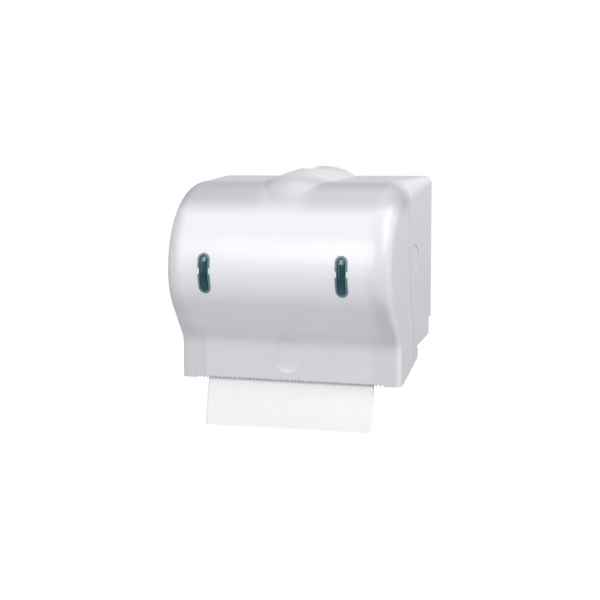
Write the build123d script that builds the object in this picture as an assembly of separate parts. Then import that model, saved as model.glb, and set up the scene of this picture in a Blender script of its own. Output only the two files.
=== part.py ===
"""Wall-mounted roll towel dispenser: housing, drop-down front cover, roll and lock.

Millimetres. The origin is the centre of the four wall screws, on the wall plane.
+Z is up, +Y points into the wall, so the front of the dispenser faces -Y.
"""
from build123d import *
from math import acos, asin, atan2, cos, hypot, pi, radians, sin, sqrt, tan
import os

os.makedirs("parts", exist_ok=True)

# Shell, outside sizes
WIDTH = 250.0                 # across the flat sides
WALL = 2.5                    # moulded wall
BACK_WALL = 3.0               # plate against the wall
TOP_Z = 78.0                  # top back edge above the screw centre
TOP_FALL = 5.0                # how far the top falls from the wall to the dome
DOME_DEPTH = 80.0             # depth at which the dome begins
BULGE_DEPTH = 163.0           # deepest part of the cover
BULGE_DROP = 99.0             # deepest part below the top back edge
BELLY_R = 56.0                # round under the bulge, seen from the side
BELLY_SWEEP = 40.0            # degrees that the round turns
WAIST_R = 20.0                # hollow round between belly and skirt
SKIRT_DEPTH = 115.0           # front of the straight skirt
HEIGHT = 219.0                # top back edge to the skirt's plain bottom edge
BACK_CORNER_R = 8.0           # top side corner at the wall
BULGE_CORNER_R = 20.0         # side corner of the dome and bulge
SKIRT_CORNER_R = 8.0          # side corner of the skirt

# Housing edges, seen from the side
PLATE_DROP = 154.0            # bottom of the wall plate below the top
SIDE_GAP_AT_WALL = 8.0        # the side walls stand off the wall below the plate
SIDE_DROP = 173.0             # rear bottom corner of the side wall below the top
SEAM_DEPTH = 84.0             # parting line at the top
SEAM_UPPER_DROP = 40.0        # where the parting line starts to lean back
SEAM_MID_DEPTH = 77.0
SEAM_MID_DROP = 130.0
SEAM_LOW_DEPTH = 66.0
SEAM_LOW_DROP = 153.0
SEAM_GAP = 0.5                # open line between housing and cover

# Hump over the top
HUMP_HALF_WIDTH = 38.5
HUMP_RISE = 11.0              # crest above the top back edge
HUMP_MID_DEPTH = 84.0         # where the hump starts to narrow
HUMP_TIP_DEPTH = 137.0        # where the hump has sunk into the dome
HUMP_FOOT = 0.6               # how far its foot lies under the plain top

# Cover hinge
HINGE_DEPTH = 58.0
HINGE_DROP = 189.0
HINGE_LUG_R = 9.0
HINGE_PIN_R = 3.0
HINGE_HEAD_R = 5.0
HINGE_HEAD_T = 1.0
PIN_PAST_EAR = 0.8
PIN_CLEAR = 0.05
EAR_R = 8.0
EAR_T = 3.5

# Skirt details
TOOTH_PITCH = 4.4
TOOTH_H = 2.6
TOOTH_FLAT = 0.3              # height of the points above the plain ends
TOOTH_ROW_HALF = 110.0        # the plain ends start here
SCOOP_W = 28.6
SCOOP_H = 37.7
SCOOP_BOTTOM_DROP = 209.5
SCOOP_DEPTH = 1.7
SCOOP_BACKING = 1.6           # wall left behind the hollow
SCOOP_STEPS = 10              # sections through the hollow
SCOOP_END = 0.35              # share of a step left off at each end

# Windows
WINDOW_X = 76.5
WINDOW_DROP = 101.2           # window centre below the top
WINDOW_W = 13.4
WINDOW_H = 43.0
WINDOW_RAISE = 0.8
RIM_LIFT = 0.05               # hairline under the rim, on the curved wall
NOTCH_H = 6.5
NOTCH_RISE = 2.2              # notch centre above the window centre
LENS_W = 9.0
LENS_H = 38.4
LENS_RAISE = 1.8
LENS_ROUND = 2.2
SPIGOT_WALL = 0.55
SPIGOT_PAST_CLIP = 0.3
CLIP_T = 1.4
CLIP_RIM = 2.2
CLIP_SEAT = 0.1               # between the ring and the wall
CLIP_FIT = 0.02

# Roll and its holders
ROLL_DEPTH = 64.0
ROLL_DROP = 87.0
ROLL_R = 56.0
ROLL_W = 190.0
CORE_IN_R = 19.05
CORE_T = 1.5
CORE_CLEAR = 0.05             # between the core and the paper
ROLL_EDGE_R = 0.8
HUB_R = 18.95
HUB_IN_CORE = 9.0
HUB_HOLE_SPARE = 2.0          # hole left past the screw's end
HUB_FLANGE_R = 27.0
HUB_FLANGE_T = 2.5
HUB_WALL = 2.5
ROLL_END_GAP = 0.5
BOSS_R = 17.5                 # thick ring inside the side wall
BOSS_REACH = 5.0              # outside of the wall to the ring's inside face
CAP_R = 14.8
CAP_RECESS = 4.0
CAP_FACE_T = 1.6
CAP_CLEAR = 0.05
CAP_GAP = 0.25                # open ring around the plug
CAP_SINK = 0.6                # the plug lies under the side face
CAP_RIM_T = 1.6
POST_R = 6.0
POST_FLANGE_R = 13.0
POST_FLANGE_T = 3.0
POST_CLEAR = 0.06
POST_SHORT = 4.0              # the post ends this far inside the cup
TUBE_SHORT = 2.0              # and the sliding tube this far
PLUNGER_SPARE = 0.5           # left at the end of the travel
SPRING_SEAT_GAP = 0.1
PLUNGER_TRAVEL = 10.0
PLUNGER_TUBE_R = 9.0
SPRING_WIRE_R = 0.7
SPRING_R = 10.6
SPRING_TURNS = 6
HUB_SCREW_R = 2.0
SCREW_HEAD_R = 4.0
SCREW_HEAD_T = 2.2
SLOT_W = 1.0                  # drive slots of the small screws
SLOT_DEEP = 0.8
CROSS_W = 1.2                 # cross drive of the hub screws
CROSS_L = 5.0
CROSS_DEEP = 1.2
THREAD_GAP = 0.05             # around a screw in its own hole
HOLE_CLEAR = 0.1              # around a screw in the piece it holds
HUB_SCREW_BITE = 10.0
ARM_SCREW_BITE = 7.0
CATCH_SCREW_BITE = 6.0

# Guide bar under the roll
BAR_DEPTH = 103.0
BAR_DROP = 171.0
BAR_R = 4.0
BAR_CLEAR = 0.05
ARM_IN = 112.0                # inner face of the arms from the middle
ARM_T = 3.0
ARM_W = 14.0
ARM_FOOT_DEPTH = 30.0
ARM_FOOT_DROP = 158.0
ARM_SCREW_SPACING = 16.0
ARM_SCREW_R = 1.75
ARM_BOSS_R = 5.0
ARM_FOOT_ROUND = 4.0
ARM_HEAD_R = 3.4
BAR_PAST_CLIP = 1.0
BAR_CHAMFER = 0.5
CLIP_SEAT_GAP = 0.05
CLIP_GRIP = 0.02
CLIP_SLOT_W = 3.0
CLIP_RING_R = 7.0
CLIP_RING_T = 1.2

# Wall screw holes
SCREW_X = 160.0
SCREW_Z = 90.0
WALL_HOLE_R = 2.75

# Lock in the hump
LOCK_DEPTH = 40.0
LOCK_R = 6.5                  # turning barrel
LOCK_SLEEVE_R = 9.5
LOCK_CLEAR = 0.08
LOCK_END_GAP = 0.3
BARREL_SINK = 0.1             # the barrel lies under the sleeve's face
LOCK_LENGTH = 22.0
LOCK_SINK = 3.2               # pocket for the lock's flange, under the hump's crest
LOCK_RING_SINK = 2.0          # top of the pocket's thick ring, under the crest
LOCK_BEZEL_R = 11.5
LOCK_BEZEL_T = 1.2
LOCK_NUT_T = 3.0
LOCK_NUT_ACROSS = 21.0
LOCK_NUT_CLEAR = 0.5          # around the nut in its seat
LOCK_NUT_GAP = 0.05
LOCK_TURN = 90.0              # degrees from rest, unlocked, to locked
KEY_SLOT_L = 8.0
KEY_SLOT_W = 2.2
CAM_T = 2.0
CAM_W = 12.0
CAM_REACH = 44.0
CAM_SCREW_R = 1.5
CAM_SCREW_L = 7.0
CAM_HEAD_R = 4.0
CAM_HEAD_T = 2.0
SQUARE_W = 6.0
SQUARE_CLEAR = 0.02
CAM_EYE_R = 7.5
KEY_SLOT_DEEP = 6.0
PEG_R = 3.0
PEG_L = 7.0
CATCH_T = 2.5
CATCH_GAP = 0.6               # free height around the cam's peg
CATCH_PLAY = 0.8              # from the peg to the lip
CATCH_LIP_HALF = 5.0
CATCH_POST_X = 10.0
CATCH_POST_R = 4.5
CATCH_POST_AHEAD = 17.0
CATCH_SCREW_R = 1.5
CATCH_RIM = 1.0               # plate left around the posts
CATCH_LIP_SINK = 0.5
POST_IN_WALL = 0.4            # share of the wall above the posts' ends
CATCH_HEAD_T = 2.0

# Paper
SHEET_T = 0.4
SHEET_SOFT_GAP = 0.3
TAIL_LOW_DROP = 270.0
TAIL_LOW_DEPTH = 118.0
TAIL_BEND_DROP = 205.0
TAIL_PULL = 22.0              # how stiffly the tail leaves the bar
TAIL_LEAN = 3.0               # and how it leans out at its lower end
TAIL_LIFT = 30.0

# Places worked out from the sizes above
HALF = WIDTH / 2
INSIDE = HALF - WALL
BULGE_Z = TOP_Z - BULGE_DROP
BOTTOM_Z = TOP_Z - HEIGHT
DOME_A = BULGE_DEPTH - DOME_DEPTH
DOME_B = BULGE_DROP - TOP_FALL
SWEEP = radians(BELLY_SWEEP)
BELLY_END_DEPTH = BULGE_DEPTH - BELLY_R + BELLY_R * cos(SWEEP)
BELLY_END_Z = BULGE_Z - BELLY_R * sin(SWEEP)
WAIST_TOP_DEPTH = SKIRT_DEPTH + WAIST_R * (1 - cos(SWEEP))
WAIST_TOP_Z = BELLY_END_Z - (BELLY_END_DEPTH - WAIST_TOP_DEPTH) / tan(SWEEP)
WAIST_LOW_Z = WAIST_TOP_Z - WAIST_R * sin(SWEEP)
HINGE_Y = -HINGE_DEPTH
HINGE_Z = TOP_Z - HINGE_DROP
ROLL_Y = -ROLL_DEPTH
ROLL_Z = TOP_Z - ROLL_DROP
BAR_Y = -BAR_DEPTH
BAR_Z = TOP_Z - BAR_DROP
WINDOW_Z = TOP_Z - WINDOW_DROP
ROLL_END = ROLL_W / 2
CORE_R = CORE_IN_R + CORE_T
LOCK_Y = -LOCK_DEPTH
FAR = 2 * WIDTH
OVER = 1.0                    # cutters reach past what they cut


def save(shape, node, colour):
    """Write one node's solids."""
    shape.label = node
    shape.color = Color(*colour)
    export_step(shape, f"parts/{node}.step")


def disc_x(x0, x1, y, z, r):
    """A round bar along X between two planes."""
    bar = Cylinder(r, abs(x1 - x0), rotation=(0, 90, 0))
    return Pos((x0 + x1) / 2, y, z) * bar


def disc_z(z0, z1, x, y, r):
    """A round bar along Z between two planes."""
    return Pos(x, y, (z0 + z1) / 2) * Cylinder(r, abs(z1 - z0))


def block(x0, x1, y0, y1, z0, z1):
    """A box between two corners."""
    return Pos((x0 + x1) / 2, (y0 + y1) / 2, (z0 + z1) / 2) * Box(
        abs(x1 - x0), abs(y1 - y0), abs(z1 - z0)
    )


def side_prism(points, x0=-FAR, x1=FAR):
    """A prism along X over an outline of (y, z) points."""
    face = make_face(Polyline([(x0, y, z) for y, z in points], close=True))
    return extrude(face, amount=x1 - x0, dir=(1, 0, 0))


def round_corner(start, end, centre):
    """Arc between two points about a centre, in any plane."""
    middle = (Vector(*start) + Vector(*end)) / 2 - Vector(*centre)
    r = (Vector(*start) - Vector(*centre)).length
    return ThreePointArc(start, Vector(*centre) + middle.normalized() * r, end)


def front_depth(z):
    """Depth of the cover's outside at a height at or below the bulge."""
    if z >= BELLY_END_Z:
        return BULGE_DEPTH - BELLY_R + sqrt(BELLY_R**2 - (BULGE_Z - z) ** 2)
    if z >= WAIST_TOP_Z:
        return BELLY_END_DEPTH - (BELLY_END_Z - z) * tan(SWEEP)
    if z >= WAIST_LOW_Z:
        return SKIRT_DEPTH + WAIST_R - sqrt(WAIST_R**2 - (z - WAIST_LOW_Z) ** 2)
    return SKIRT_DEPTH


def corner_radius(z):
    """Side corner radius, easing from the bulge's to the skirt's."""
    share = min(1.0, max(0.0, (BULGE_Z - z) / (BULGE_Z - WAIST_LOW_Z)))
    ease = share * share * (3 - 2 * share)
    return BULGE_CORNER_R + (SKIRT_CORNER_R - BULGE_CORNER_R) * ease


def steepness(z):
    """How much longer the sloping wall is than its height."""
    if z >= BELLY_END_Z:
        return 1 / cos(asin((BULGE_Z - z) / BELLY_R))
    if z >= WAIST_TOP_Z:
        return 1 / cos(SWEEP)
    if z >= WAIST_LOW_Z:
        return 1 / cos(asin((z - WAIST_LOW_Z) / WAIST_R))
    return 1.0


def plan_section(z, inset, back):
    """Plan outline at one height, with its two front corners rounded."""
    half = HALF - inset
    depth = front_depth(z) - inset * steepness(z)
    r = corner_radius(z) - inset
    left = Line((-half, -back, z), (-half, r - depth, z))
    left_round = round_corner((-half, r - depth, z), (r - half, -depth, z), (r - half, r - depth, z))
    front = Line((r - half, -depth, z), (half - r, -depth, z))
    right_round = round_corner((half - r, -depth, z), (half, r - depth, z), (half - r, r - depth, z))
    right = Line((half, r - depth, z), (half, -back, z))
    rear = Line((half, -back, z), (-half, -back, z))
    return make_face(Wire([left, left_round, front, right_round, right, rear]))


def lower_form(inset, back, bottom):
    """Everything below the bulge, lofted through plan sections."""
    heights = [BULGE_Z, BULGE_Z - 6, BULGE_Z - 14, BULGE_Z - 24, BELLY_END_Z]
    span = BELLY_END_Z - WAIST_TOP_Z
    heights += [BELLY_END_Z - span * 0.33, BELLY_END_Z - span * 0.67, WAIST_TOP_Z]
    drop = WAIST_TOP_Z - WAIST_LOW_Z
    heights += [WAIST_TOP_Z - drop * 0.33, WAIST_TOP_Z - drop * 0.67, WAIST_LOW_Z]
    straight = WAIST_LOW_Z - WAIST_R * 0.3
    curved = loft([plan_section(z, inset, back) for z in heights + [straight]])
    return curved + extrude(plan_section(straight, inset, back), amount=straight - bottom, dir=(0, 0, -1))


def dome_form(inset):
    """Quarter-ellipse dome over the roll, with rounded side edges."""
    half = HALF - inset
    a = DOME_A - inset
    b = DOME_B - inset
    side_view = Plane(origin=(half, -DOME_DEPTH, BULGE_Z), x_dir=(0, -1, 0), z_dir=(-1, 0, 0))
    quarter = Ellipse(a, b) & Pos(a, b) * Rectangle(2 * a, 2 * b)
    body = extrude(side_view * quarter, amount=2 * half)
    rim = body.edges().filter_by(GeomType.ELLIPSE)
    return fillet(rim, BULGE_CORNER_R - inset)


def wall_section(y, top, r, half):
    """Upright outline across the housing with two round top corners."""
    left = Line((-half, y, BULGE_Z), (-half, y, top - r))
    left_round = round_corner((-half, y, top - r), (r - half, y, top), (r - half, y, top - r))
    over = Line((r - half, y, top), (half - r, y, top))
    right_round = round_corner((half - r, y, top), (half, y, top - r), (half - r, y, top - r))
    right = Line((half, y, top - r), (half, y, BULGE_Z))
    under = Line((half, y, BULGE_Z), (-half, y, BULGE_Z))
    return make_face(Wire([left, left_round, over, right_round, right, under]))


def rear_form(inset, back):
    """Top of the housing from the wall to the dome."""
    half = HALF - inset
    fall = TOP_FALL * back / DOME_DEPTH
    corner = BACK_CORNER_R + (BULGE_CORNER_R - BACK_CORNER_R) * back / DOME_DEPTH
    at_wall = wall_section(-back, TOP_Z - fall - inset, corner - inset, half)
    at_dome = wall_section(
        -DOME_DEPTH, TOP_Z - TOP_FALL - inset, BULGE_CORNER_R - inset, half
    )
    return loft([at_wall, at_dome], ruled=True)


def dome_height(depth):
    """Height of the plain top or dome at a depth from the wall."""
    if depth <= DOME_DEPTH:
        return TOP_Z - TOP_FALL * depth / DOME_DEPTH
    return BULGE_Z + DOME_B * sqrt(1 - ((depth - DOME_DEPTH) / DOME_A) ** 2)


def hump_form(inset, back):
    """Tapering hump over the middle of the top, sinking into the dome."""
    # depth, half width as a share of the full one, crest above the plain top
    narrowing = HUMP_TIP_DEPTH - HUMP_MID_DEPTH
    stations = [
        (back, 1.0, HUMP_RISE),
        (HUMP_MID_DEPTH * 0.24, 1.0, HUMP_RISE * 1.05),
        (HUMP_MID_DEPTH * 0.48, 1.0, HUMP_RISE * 1.09),
        (HUMP_MID_DEPTH * 0.74, 0.995, HUMP_RISE * 0.96),
        (HUMP_MID_DEPTH, 0.97, HUMP_RISE * 0.72),
        (HUMP_MID_DEPTH + narrowing * 0.30, 0.88, HUMP_RISE * 0.52),
        (HUMP_MID_DEPTH + narrowing * 0.58, 0.71, HUMP_RISE * 0.34),
        (HUMP_MID_DEPTH + narrowing * 0.82, 0.48, HUMP_RISE * 0.14),
        (HUMP_TIP_DEPTH, 0.24, -HUMP_RISE * 0.12),
    ]
    faces = []
    for depth, share, rise in stations:
        base = dome_height(depth) - HUMP_FOOT
        half = HUMP_HALF_WIDTH * share - inset
        crest = dome_height(depth) + rise - inset
        foot = min(base, crest - 0.8)
        arch = ThreePointArc((-half, -depth, foot), (0, -depth, crest), (half, -depth, foot))
        low = foot - 5 * WALL
        right = Line((half, -depth, foot), (half, -depth, low))
        under = Line((half, -depth, low), (-half, -depth, low))
        left = Line((-half, -depth, low), (-half, -depth, foot))
        faces.append(make_face(Wire([arch, right, under, left])))
    return loft(faces)


def full_form(inset, back, bottom):
    """The dispenser's whole outside, or its inside when inset by the wall."""
    body = rear_form(inset, back) + dome_form(inset) + lower_form(inset, back, bottom)
    return body + hump_form(inset, back)


def seam_points(shift):
    """Parting line seen from the side, moved forward by a shift."""
    return [
        (-SEAM_DEPTH - shift, TOP_Z + FAR),
        (-SEAM_DEPTH - shift, TOP_Z - SEAM_UPPER_DROP),
        (-SEAM_MID_DEPTH - shift, TOP_Z - SEAM_MID_DROP),
        (-SEAM_LOW_DEPTH - shift, TOP_Z - SEAM_LOW_DROP),
        (-SEAM_LOW_DEPTH - shift, HINGE_Z),
        (HINGE_Y - shift, HINGE_Z - HINGE_LUG_R),
    ]


def housing_zone():
    """Space behind the parting line and above the housing's bottom edges."""
    points = seam_points(0)[:5] + [
        (HINGE_Y, HINGE_Z),
        (HINGE_Y + HINGE_LUG_R * 0.6, HINGE_Z + HINGE_LUG_R * 0.8),
        (-SIDE_GAP_AT_WALL, TOP_Z - SIDE_DROP),
        (-SIDE_GAP_AT_WALL, TOP_Z - PLATE_DROP),
        (FAR, TOP_Z - PLATE_DROP),
        (FAR, TOP_Z + FAR),
    ]
    return side_prism(points) + disc_x(-FAR, FAR, HINGE_Y, HINGE_Z, HINGE_LUG_R)


def cover_zone():
    """Space in front of the parting line and above the cover's bottom edge."""
    reach = HINGE_LUG_R + SEAM_GAP
    points = seam_points(SEAM_GAP)[:5] + [
        (HINGE_Y - SEAM_GAP, HINGE_Z),
        (HINGE_Y - SEAM_GAP, HINGE_Z - reach),
        (-SKIRT_DEPTH + SKIRT_CORNER_R, BOTTOM_Z),
        (-FAR, BOTTOM_Z),
        (-FAR, TOP_Z + FAR),
    ]
    return side_prism(points) - disc_x(-FAR, FAR, HINGE_Y, HINGE_Z, reach)


def shell():
    """The moulded wall of housing and cover together."""
    outside = full_form(0, 0, BOTTOM_Z)
    inside = full_form(WALL, BACK_WALL, BOTTOM_Z - FAR / 20)
    return outside - inside


def lug_pin_cut(side):
    """Hole and head seat for one hinge pin in the housing."""
    shank = disc_x(
        side * (INSIDE - OVER), side * (HALF + OVER), HINGE_Y, HINGE_Z, HINGE_PIN_R + PIN_CLEAR
    )
    seat = disc_x(
        side * (HALF - HINGE_HEAD_T), side * (HALF + OVER), HINGE_Y, HINGE_Z, HINGE_HEAD_R + PIN_CLEAR
    )
    return shank + seat


def arm_screw_places():
    """(y, z) of the two screws that hold each guide arm."""
    for step in (-0.5, 0.5):
        yield -ARM_FOOT_DEPTH, TOP_Z - ARM_FOOT_DROP + step * ARM_SCREW_SPACING


def lock_floor_z():
    """Height of the hump's crest over the lock."""
    return dome_height(LOCK_DEPTH) + HUMP_RISE * 1.09


def back_housing(wall):
    """Plate against the wall, side walls, top and the rear half of the hump."""
    body = wall & housing_zone()
    for side in (-1, 1):
        ring = disc_x(side * (HALF - WALL / 2), side * boss_face(), ROLL_Y, ROLL_Z, BOSS_R)
        body += ring & housing_zone()
        recess_floor = side * (HALF - CAP_RECESS)
        body -= disc_x(recess_floor, side * (HALF + OVER), ROLL_Y, ROLL_Z, CAP_R)
        body -= disc_x(side * ARM_IN, recess_floor, ROLL_Y, ROLL_Z, HUB_SCREW_R + HOLE_CLEAR)
        body -= lug_pin_cut(side)
        for y, z in arm_screw_places():
            foot = side * (ARM_IN + ARM_T)
            body += disc_x(side * (HALF - WALL / 2), foot, y, z, ARM_BOSS_R)
            body -= disc_x(foot, foot + side * (ARM_SCREW_BITE + OVER), y, z, ARM_SCREW_R)
    for x in (-SCREW_X / 2, SCREW_X / 2):
        for z in (-SCREW_Z / 2, SCREW_Z / 2):
            hole = Cylinder(WALL_HOLE_R, 4 * BACK_WALL, rotation=(90, 0, 0))
            body -= Pos(x, 0, z) * hole
    crest = lock_floor_z()
    ring_top = crest - LOCK_RING_SINK
    body += disc_z(crest - LOCK_SINK - WALL, ring_top, 0, LOCK_Y, LOCK_BEZEL_R + WALL)
    body -= disc_z(crest - LOCK_SINK, crest + HUMP_RISE, 0, LOCK_Y, LOCK_BEZEL_R + LOCK_CLEAR)
    body -= disc_z(crest - LOCK_LENGTH / 2, crest + HUMP_RISE, 0, LOCK_Y, LOCK_SLEEVE_R + LOCK_CLEAR)
    seat = crest - LOCK_SINK - WALL
    body -= disc_z(seat - LOCK_NUT_T - OVER, seat, 0, LOCK_Y, LOCK_NUT_ACROSS / sqrt(3) + LOCK_NUT_CLEAR)
    return body


def teeth_cut():
    """Saw teeth along the skirt's bottom edge."""
    count = int(2 * TOOTH_ROW_HALF / TOOTH_PITCH)
    start = -count * TOOTH_PITCH / 2
    points = [(start, BOTTOM_Z)]
    for i in range(count):
        points.append((start + (i + 0.5) * TOOTH_PITCH, BOTTOM_Z + TOOTH_H))
        points.append((start + (i + 1) * TOOTH_PITCH, BOTTOM_Z + TOOTH_FLAT))
    points[-1] = (start + count * TOOTH_PITCH, BOTTOM_Z)
    low = BOTTOM_Z - 2 * TOOTH_H
    points += [(-start, low), (start, low)]
    face = make_face(Polyline([(x, -SKIRT_DEPTH - OVER, z) for x, z in points], close=True))
    return extrude(face, amount=WALL + 2 * SKIRT_CORNER_R, dir=(0, 1, 0))


def capsule(width, height, x, y0, y1, z):
    """A prism along Y over a stadium."""
    r = width / 2
    rise = height / 2 - r
    body = block(x - r, x + r, y0, y1, z - rise, z + rise)
    length = abs(y1 - y0)
    for end in (-1, 1):
        round_end = Cylinder(r, length, rotation=(90, 0, 0))
        body += Pos(x, (y0 + y1) / 2, z + end * rise) * round_end
    return body


def scoop_shape(deeper, wider):
    """Shallow thumb hollow that follows the skirt and waist, lofted through plan sections."""
    r = SCOOP_W / 2
    straight = (SCOOP_H - SCOOP_W) / 2
    middle = TOP_Z - SCOOP_BOTTOM_DROP + SCOOP_H / 2
    faces = []
    for step in range(SCOOP_STEPS + 1):
        rise = -cos(pi * (step + SCOOP_END) / (SCOOP_STEPS + 2 * SCOOP_END)) * SCOOP_H / 2
        in_round = max(0.0, abs(rise) - straight)
        half = sqrt(r * r - in_round * in_round)
        surface = -front_depth(middle + rise)
        front = surface - WALL
        floor = surface + SCOOP_DEPTH * half / r + deeper
        half += wider
        z = middle + rise
        bowl = ThreePointArc((-half, surface, z), (0, floor, z), (half, surface, z))
        right = Line((half, surface, z), (half, front, z))
        over = Line((half, front, z), (-half, front, z))
        left = Line((-half, front, z), (-half, surface, z))
        faces.append(make_face(Wire([bowl, right, over, left])))
    return loft(faces)


def bulge_slab(x, outside, inside):
    """A slice of the cover's wall at a window, from a shift outside to one inside."""
    def profile(shift):
        front = [
            (-(BULGE_DEPTH - BELLY_R) - (BELLY_R + shift) * cos(t), BULGE_Z - (BELLY_R + shift) * sin(t))
            for t in [radians(a) for a in range(0, 41, 4)]
        ]
        dome = [
            (-DOME_DEPTH - (DOME_A + shift) * cos(t), BULGE_Z + (DOME_B + shift) * sin(t))
            for t in [radians(a) for a in range(32, 0, -4)]
        ]
        start = Spline([(x - WINDOW_W, y, z) for y, z in dome + front])
        top = start @ 0
        low = start @ 1
        rear = -DOME_DEPTH
        ring = [
            start,
            Line(low, (x - WINDOW_W, rear, low.Z)),
            Line((x - WINDOW_W, rear, low.Z), (x - WINDOW_W, rear, top.Z)),
            Line((x - WINDOW_W, rear, top.Z), top),
        ]
        return extrude(make_face(Wire(ring)), amount=2 * WINDOW_W, dir=(1, 0, 0))
    return profile(outside) - profile(-inside)


def window_hole(x, grow):
    """Opening for one window through the cover's wall."""
    width = LENS_W + 2 * (SPIGOT_WALL + CAP_CLEAR + grow)
    height = LENS_H + 2 * (SPIGOT_WALL + CAP_CLEAR + grow)
    return capsule(width, height, x, -BULGE_DEPTH - 5, -DOME_DEPTH - 10, WINDOW_Z)


def ear(side):
    """Arm inside the cover that reaches back to the hinge pin."""
    outer = INSIDE - SEAM_GAP
    inner = outer - EAR_T
    low_front = (-SKIRT_DEPTH + WALL + SKIRT_CORNER_R + 2, BOTTOM_Z + 14)
    high_front = (-SKIRT_DEPTH + WALL + SKIRT_CORNER_R + 2, HINGE_Z + 16)
    points = [(HINGE_Y, HINGE_Z - EAR_R), low_front, high_front, (HINGE_Y, HINGE_Z + EAR_R)]
    arm = side_prism(points, inner, outer) + disc_x(inner, outer, HINGE_Y, HINGE_Z, EAR_R)
    pad_rear = -SEAM_LOW_DEPTH - 6
    pad = side_prism(
        [(pad_rear, HINGE_Z - 5), low_front, high_front, (pad_rear, HINGE_Z + 9)],
        inner, HALF - WALL / 2,
    )
    arm += pad
    arm -= disc_x(inner - 1, outer + 1, HINGE_Y, HINGE_Z, HINGE_PIN_R + PIN_CLEAR)
    return arm if side > 0 else mirror(arm, Plane.YZ)


def front_cover(wall):
    """Drop-down cover: dome, bulge, waist and skirt with its teeth."""
    body = wall & cover_zone()
    body += scoop_shape(SCOOP_BACKING, SCOOP_BACKING) & lower_form(WALL / 2, 0, BOTTOM_Z)
    body -= scoop_shape(0, 0)
    body -= teeth_cut()
    for x in (-WINDOW_X, WINDOW_X):
        body -= window_hole(x, 0)
    for side in (-1, 1):
        body += ear(side)
    body += catch_posts()
    for x in (-CATCH_POST_X, CATCH_POST_X):
        hole_top = catch_plate_top() + CATCH_SCREW_BITE + OVER
        body -= disc_z(catch_plate_top() - OVER, hole_top, x, catch_post_y(), CATCH_SCREW_R)
    return body


def window_bezel(x):
    """Teal rim of one window: two arches outside joined by a spigot."""
    rim = capsule(WINDOW_W, WINDOW_H, x, -BULGE_DEPTH - 4, -DOME_DEPTH - 20, WINDOW_Z)
    spigot = window_hole(x, -CAP_CLEAR)
    notch_z = WINDOW_Z + NOTCH_RISE
    notch = block(
        x - WINDOW_W, x + WINDOW_W, -BULGE_DEPTH - 4, -DOME_DEPTH,
        notch_z - NOTCH_H / 2, notch_z + NOTCH_H / 2,
    )
    outside = (rim - (notch - spigot)) & bulge_slab(x, WINDOW_RAISE, -RIM_LIFT)
    through = spigot & bulge_slab(x, WINDOW_RAISE, WALL + CLIP_T + SPIGOT_PAST_CLIP)
    hollow = capsule(
        LENS_W + 2 * CAP_CLEAR, LENS_H + 2 * CAP_CLEAR, x, -BULGE_DEPTH - 5, -DOME_DEPTH - 10, WINDOW_Z
    )
    return outside + through - hollow


def window_lens(x):
    """Clear teal bar of one window, rounded in front."""
    body = capsule(LENS_W, LENS_H, x, -BULGE_DEPTH - 5, -DOME_DEPTH - 20, WINDOW_Z)
    body = body & bulge_slab(x, LENS_RAISE, WALL + CLIP_T)
    front = body.faces().sort_by(Axis.Y)[0].edges()
    return fillet(front, LENS_ROUND)


def window_clip(x):
    """Ring that holds the window from inside the cover."""
    ring = capsule(
        LENS_W + 2 * (SPIGOT_WALL + CLIP_RIM), LENS_H + 2 * (SPIGOT_WALL + CLIP_RIM),
        x, -BULGE_DEPTH - 5, -DOME_DEPTH - 10, WINDOW_Z,
    )
    slab = bulge_slab(x, -WALL - CLIP_SEAT, WALL + CLIP_T)
    return (ring - window_hole(x, CLIP_FIT)) & slab


def hinge_pin(side):
    """Headed pin through the housing's lug and the cover's ear."""
    tip = side * (INSIDE - SEAM_GAP - EAR_T - PIN_PAST_EAR)
    shank = disc_x(tip, side * HALF, HINGE_Y, HINGE_Z, HINGE_PIN_R)
    return shank + disc_x(side * (HALF - HINGE_HEAD_T), side * HALF, HINGE_Y, HINGE_Z, HINGE_HEAD_R)


def side_cap(side):
    """Round plug over the hub screw in the outside of the side wall."""
    outer = side * (HALF - CAP_SINK)
    inner = side * (HALF - CAP_FACE_T)
    floor = side * (HALF - CAP_RECESS + CAP_CLEAR)
    face = disc_x(inner, outer, ROLL_Y, ROLL_Z, CAP_R - CAP_GAP)
    rim = disc_x(floor, inner, ROLL_Y, ROLL_Z, CAP_R - CAP_CLEAR)
    return face + rim - disc_x(floor, inner, ROLL_Y, ROLL_Z, CAP_R - CAP_RIM_T)


def boss_face():
    """Distance from the middle to the inside face of the side boss."""
    return HALF - BOSS_REACH


def fixed_hub():
    """Left hub: a cup that carries the core, on a stem from the side wall."""
    end = -ROLL_END
    flange_in = end - ROLL_END_GAP
    cup = disc_x(end + HUB_IN_CORE, flange_in, ROLL_Y, ROLL_Z, HUB_R)
    cup -= disc_x(end + HUB_IN_CORE + OVER, flange_in, ROLL_Y, ROLL_Z, HUB_R - HUB_WALL)
    flange = disc_x(flange_in, flange_in - HUB_FLANGE_T, ROLL_Y, ROLL_Z, HUB_FLANGE_R)
    stem = disc_x(flange_in, -boss_face(), ROLL_Y, ROLL_Z, POST_FLANGE_R)
    hole = disc_x(-boss_face(), HUB_SCREW_BITE + HUB_HOLE_SPARE - boss_face(), ROLL_Y, ROLL_Z, HUB_SCREW_R)
    return cup + flange + stem - hole


def hub_post():
    """Post on the right side wall that the sprung hub slides on."""
    base = disc_x(boss_face(), boss_face() - POST_FLANGE_T, ROLL_Y, ROLL_Z, POST_FLANGE_R)
    rod = disc_x(boss_face(), ROLL_END - HUB_IN_CORE + POST_SHORT, ROLL_Y, ROLL_Z, POST_R)
    hole = disc_x(boss_face(), boss_face() - HUB_SCREW_BITE - HUB_HOLE_SPARE, ROLL_Y, ROLL_Z, HUB_SCREW_R)
    return base + rod - hole


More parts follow.
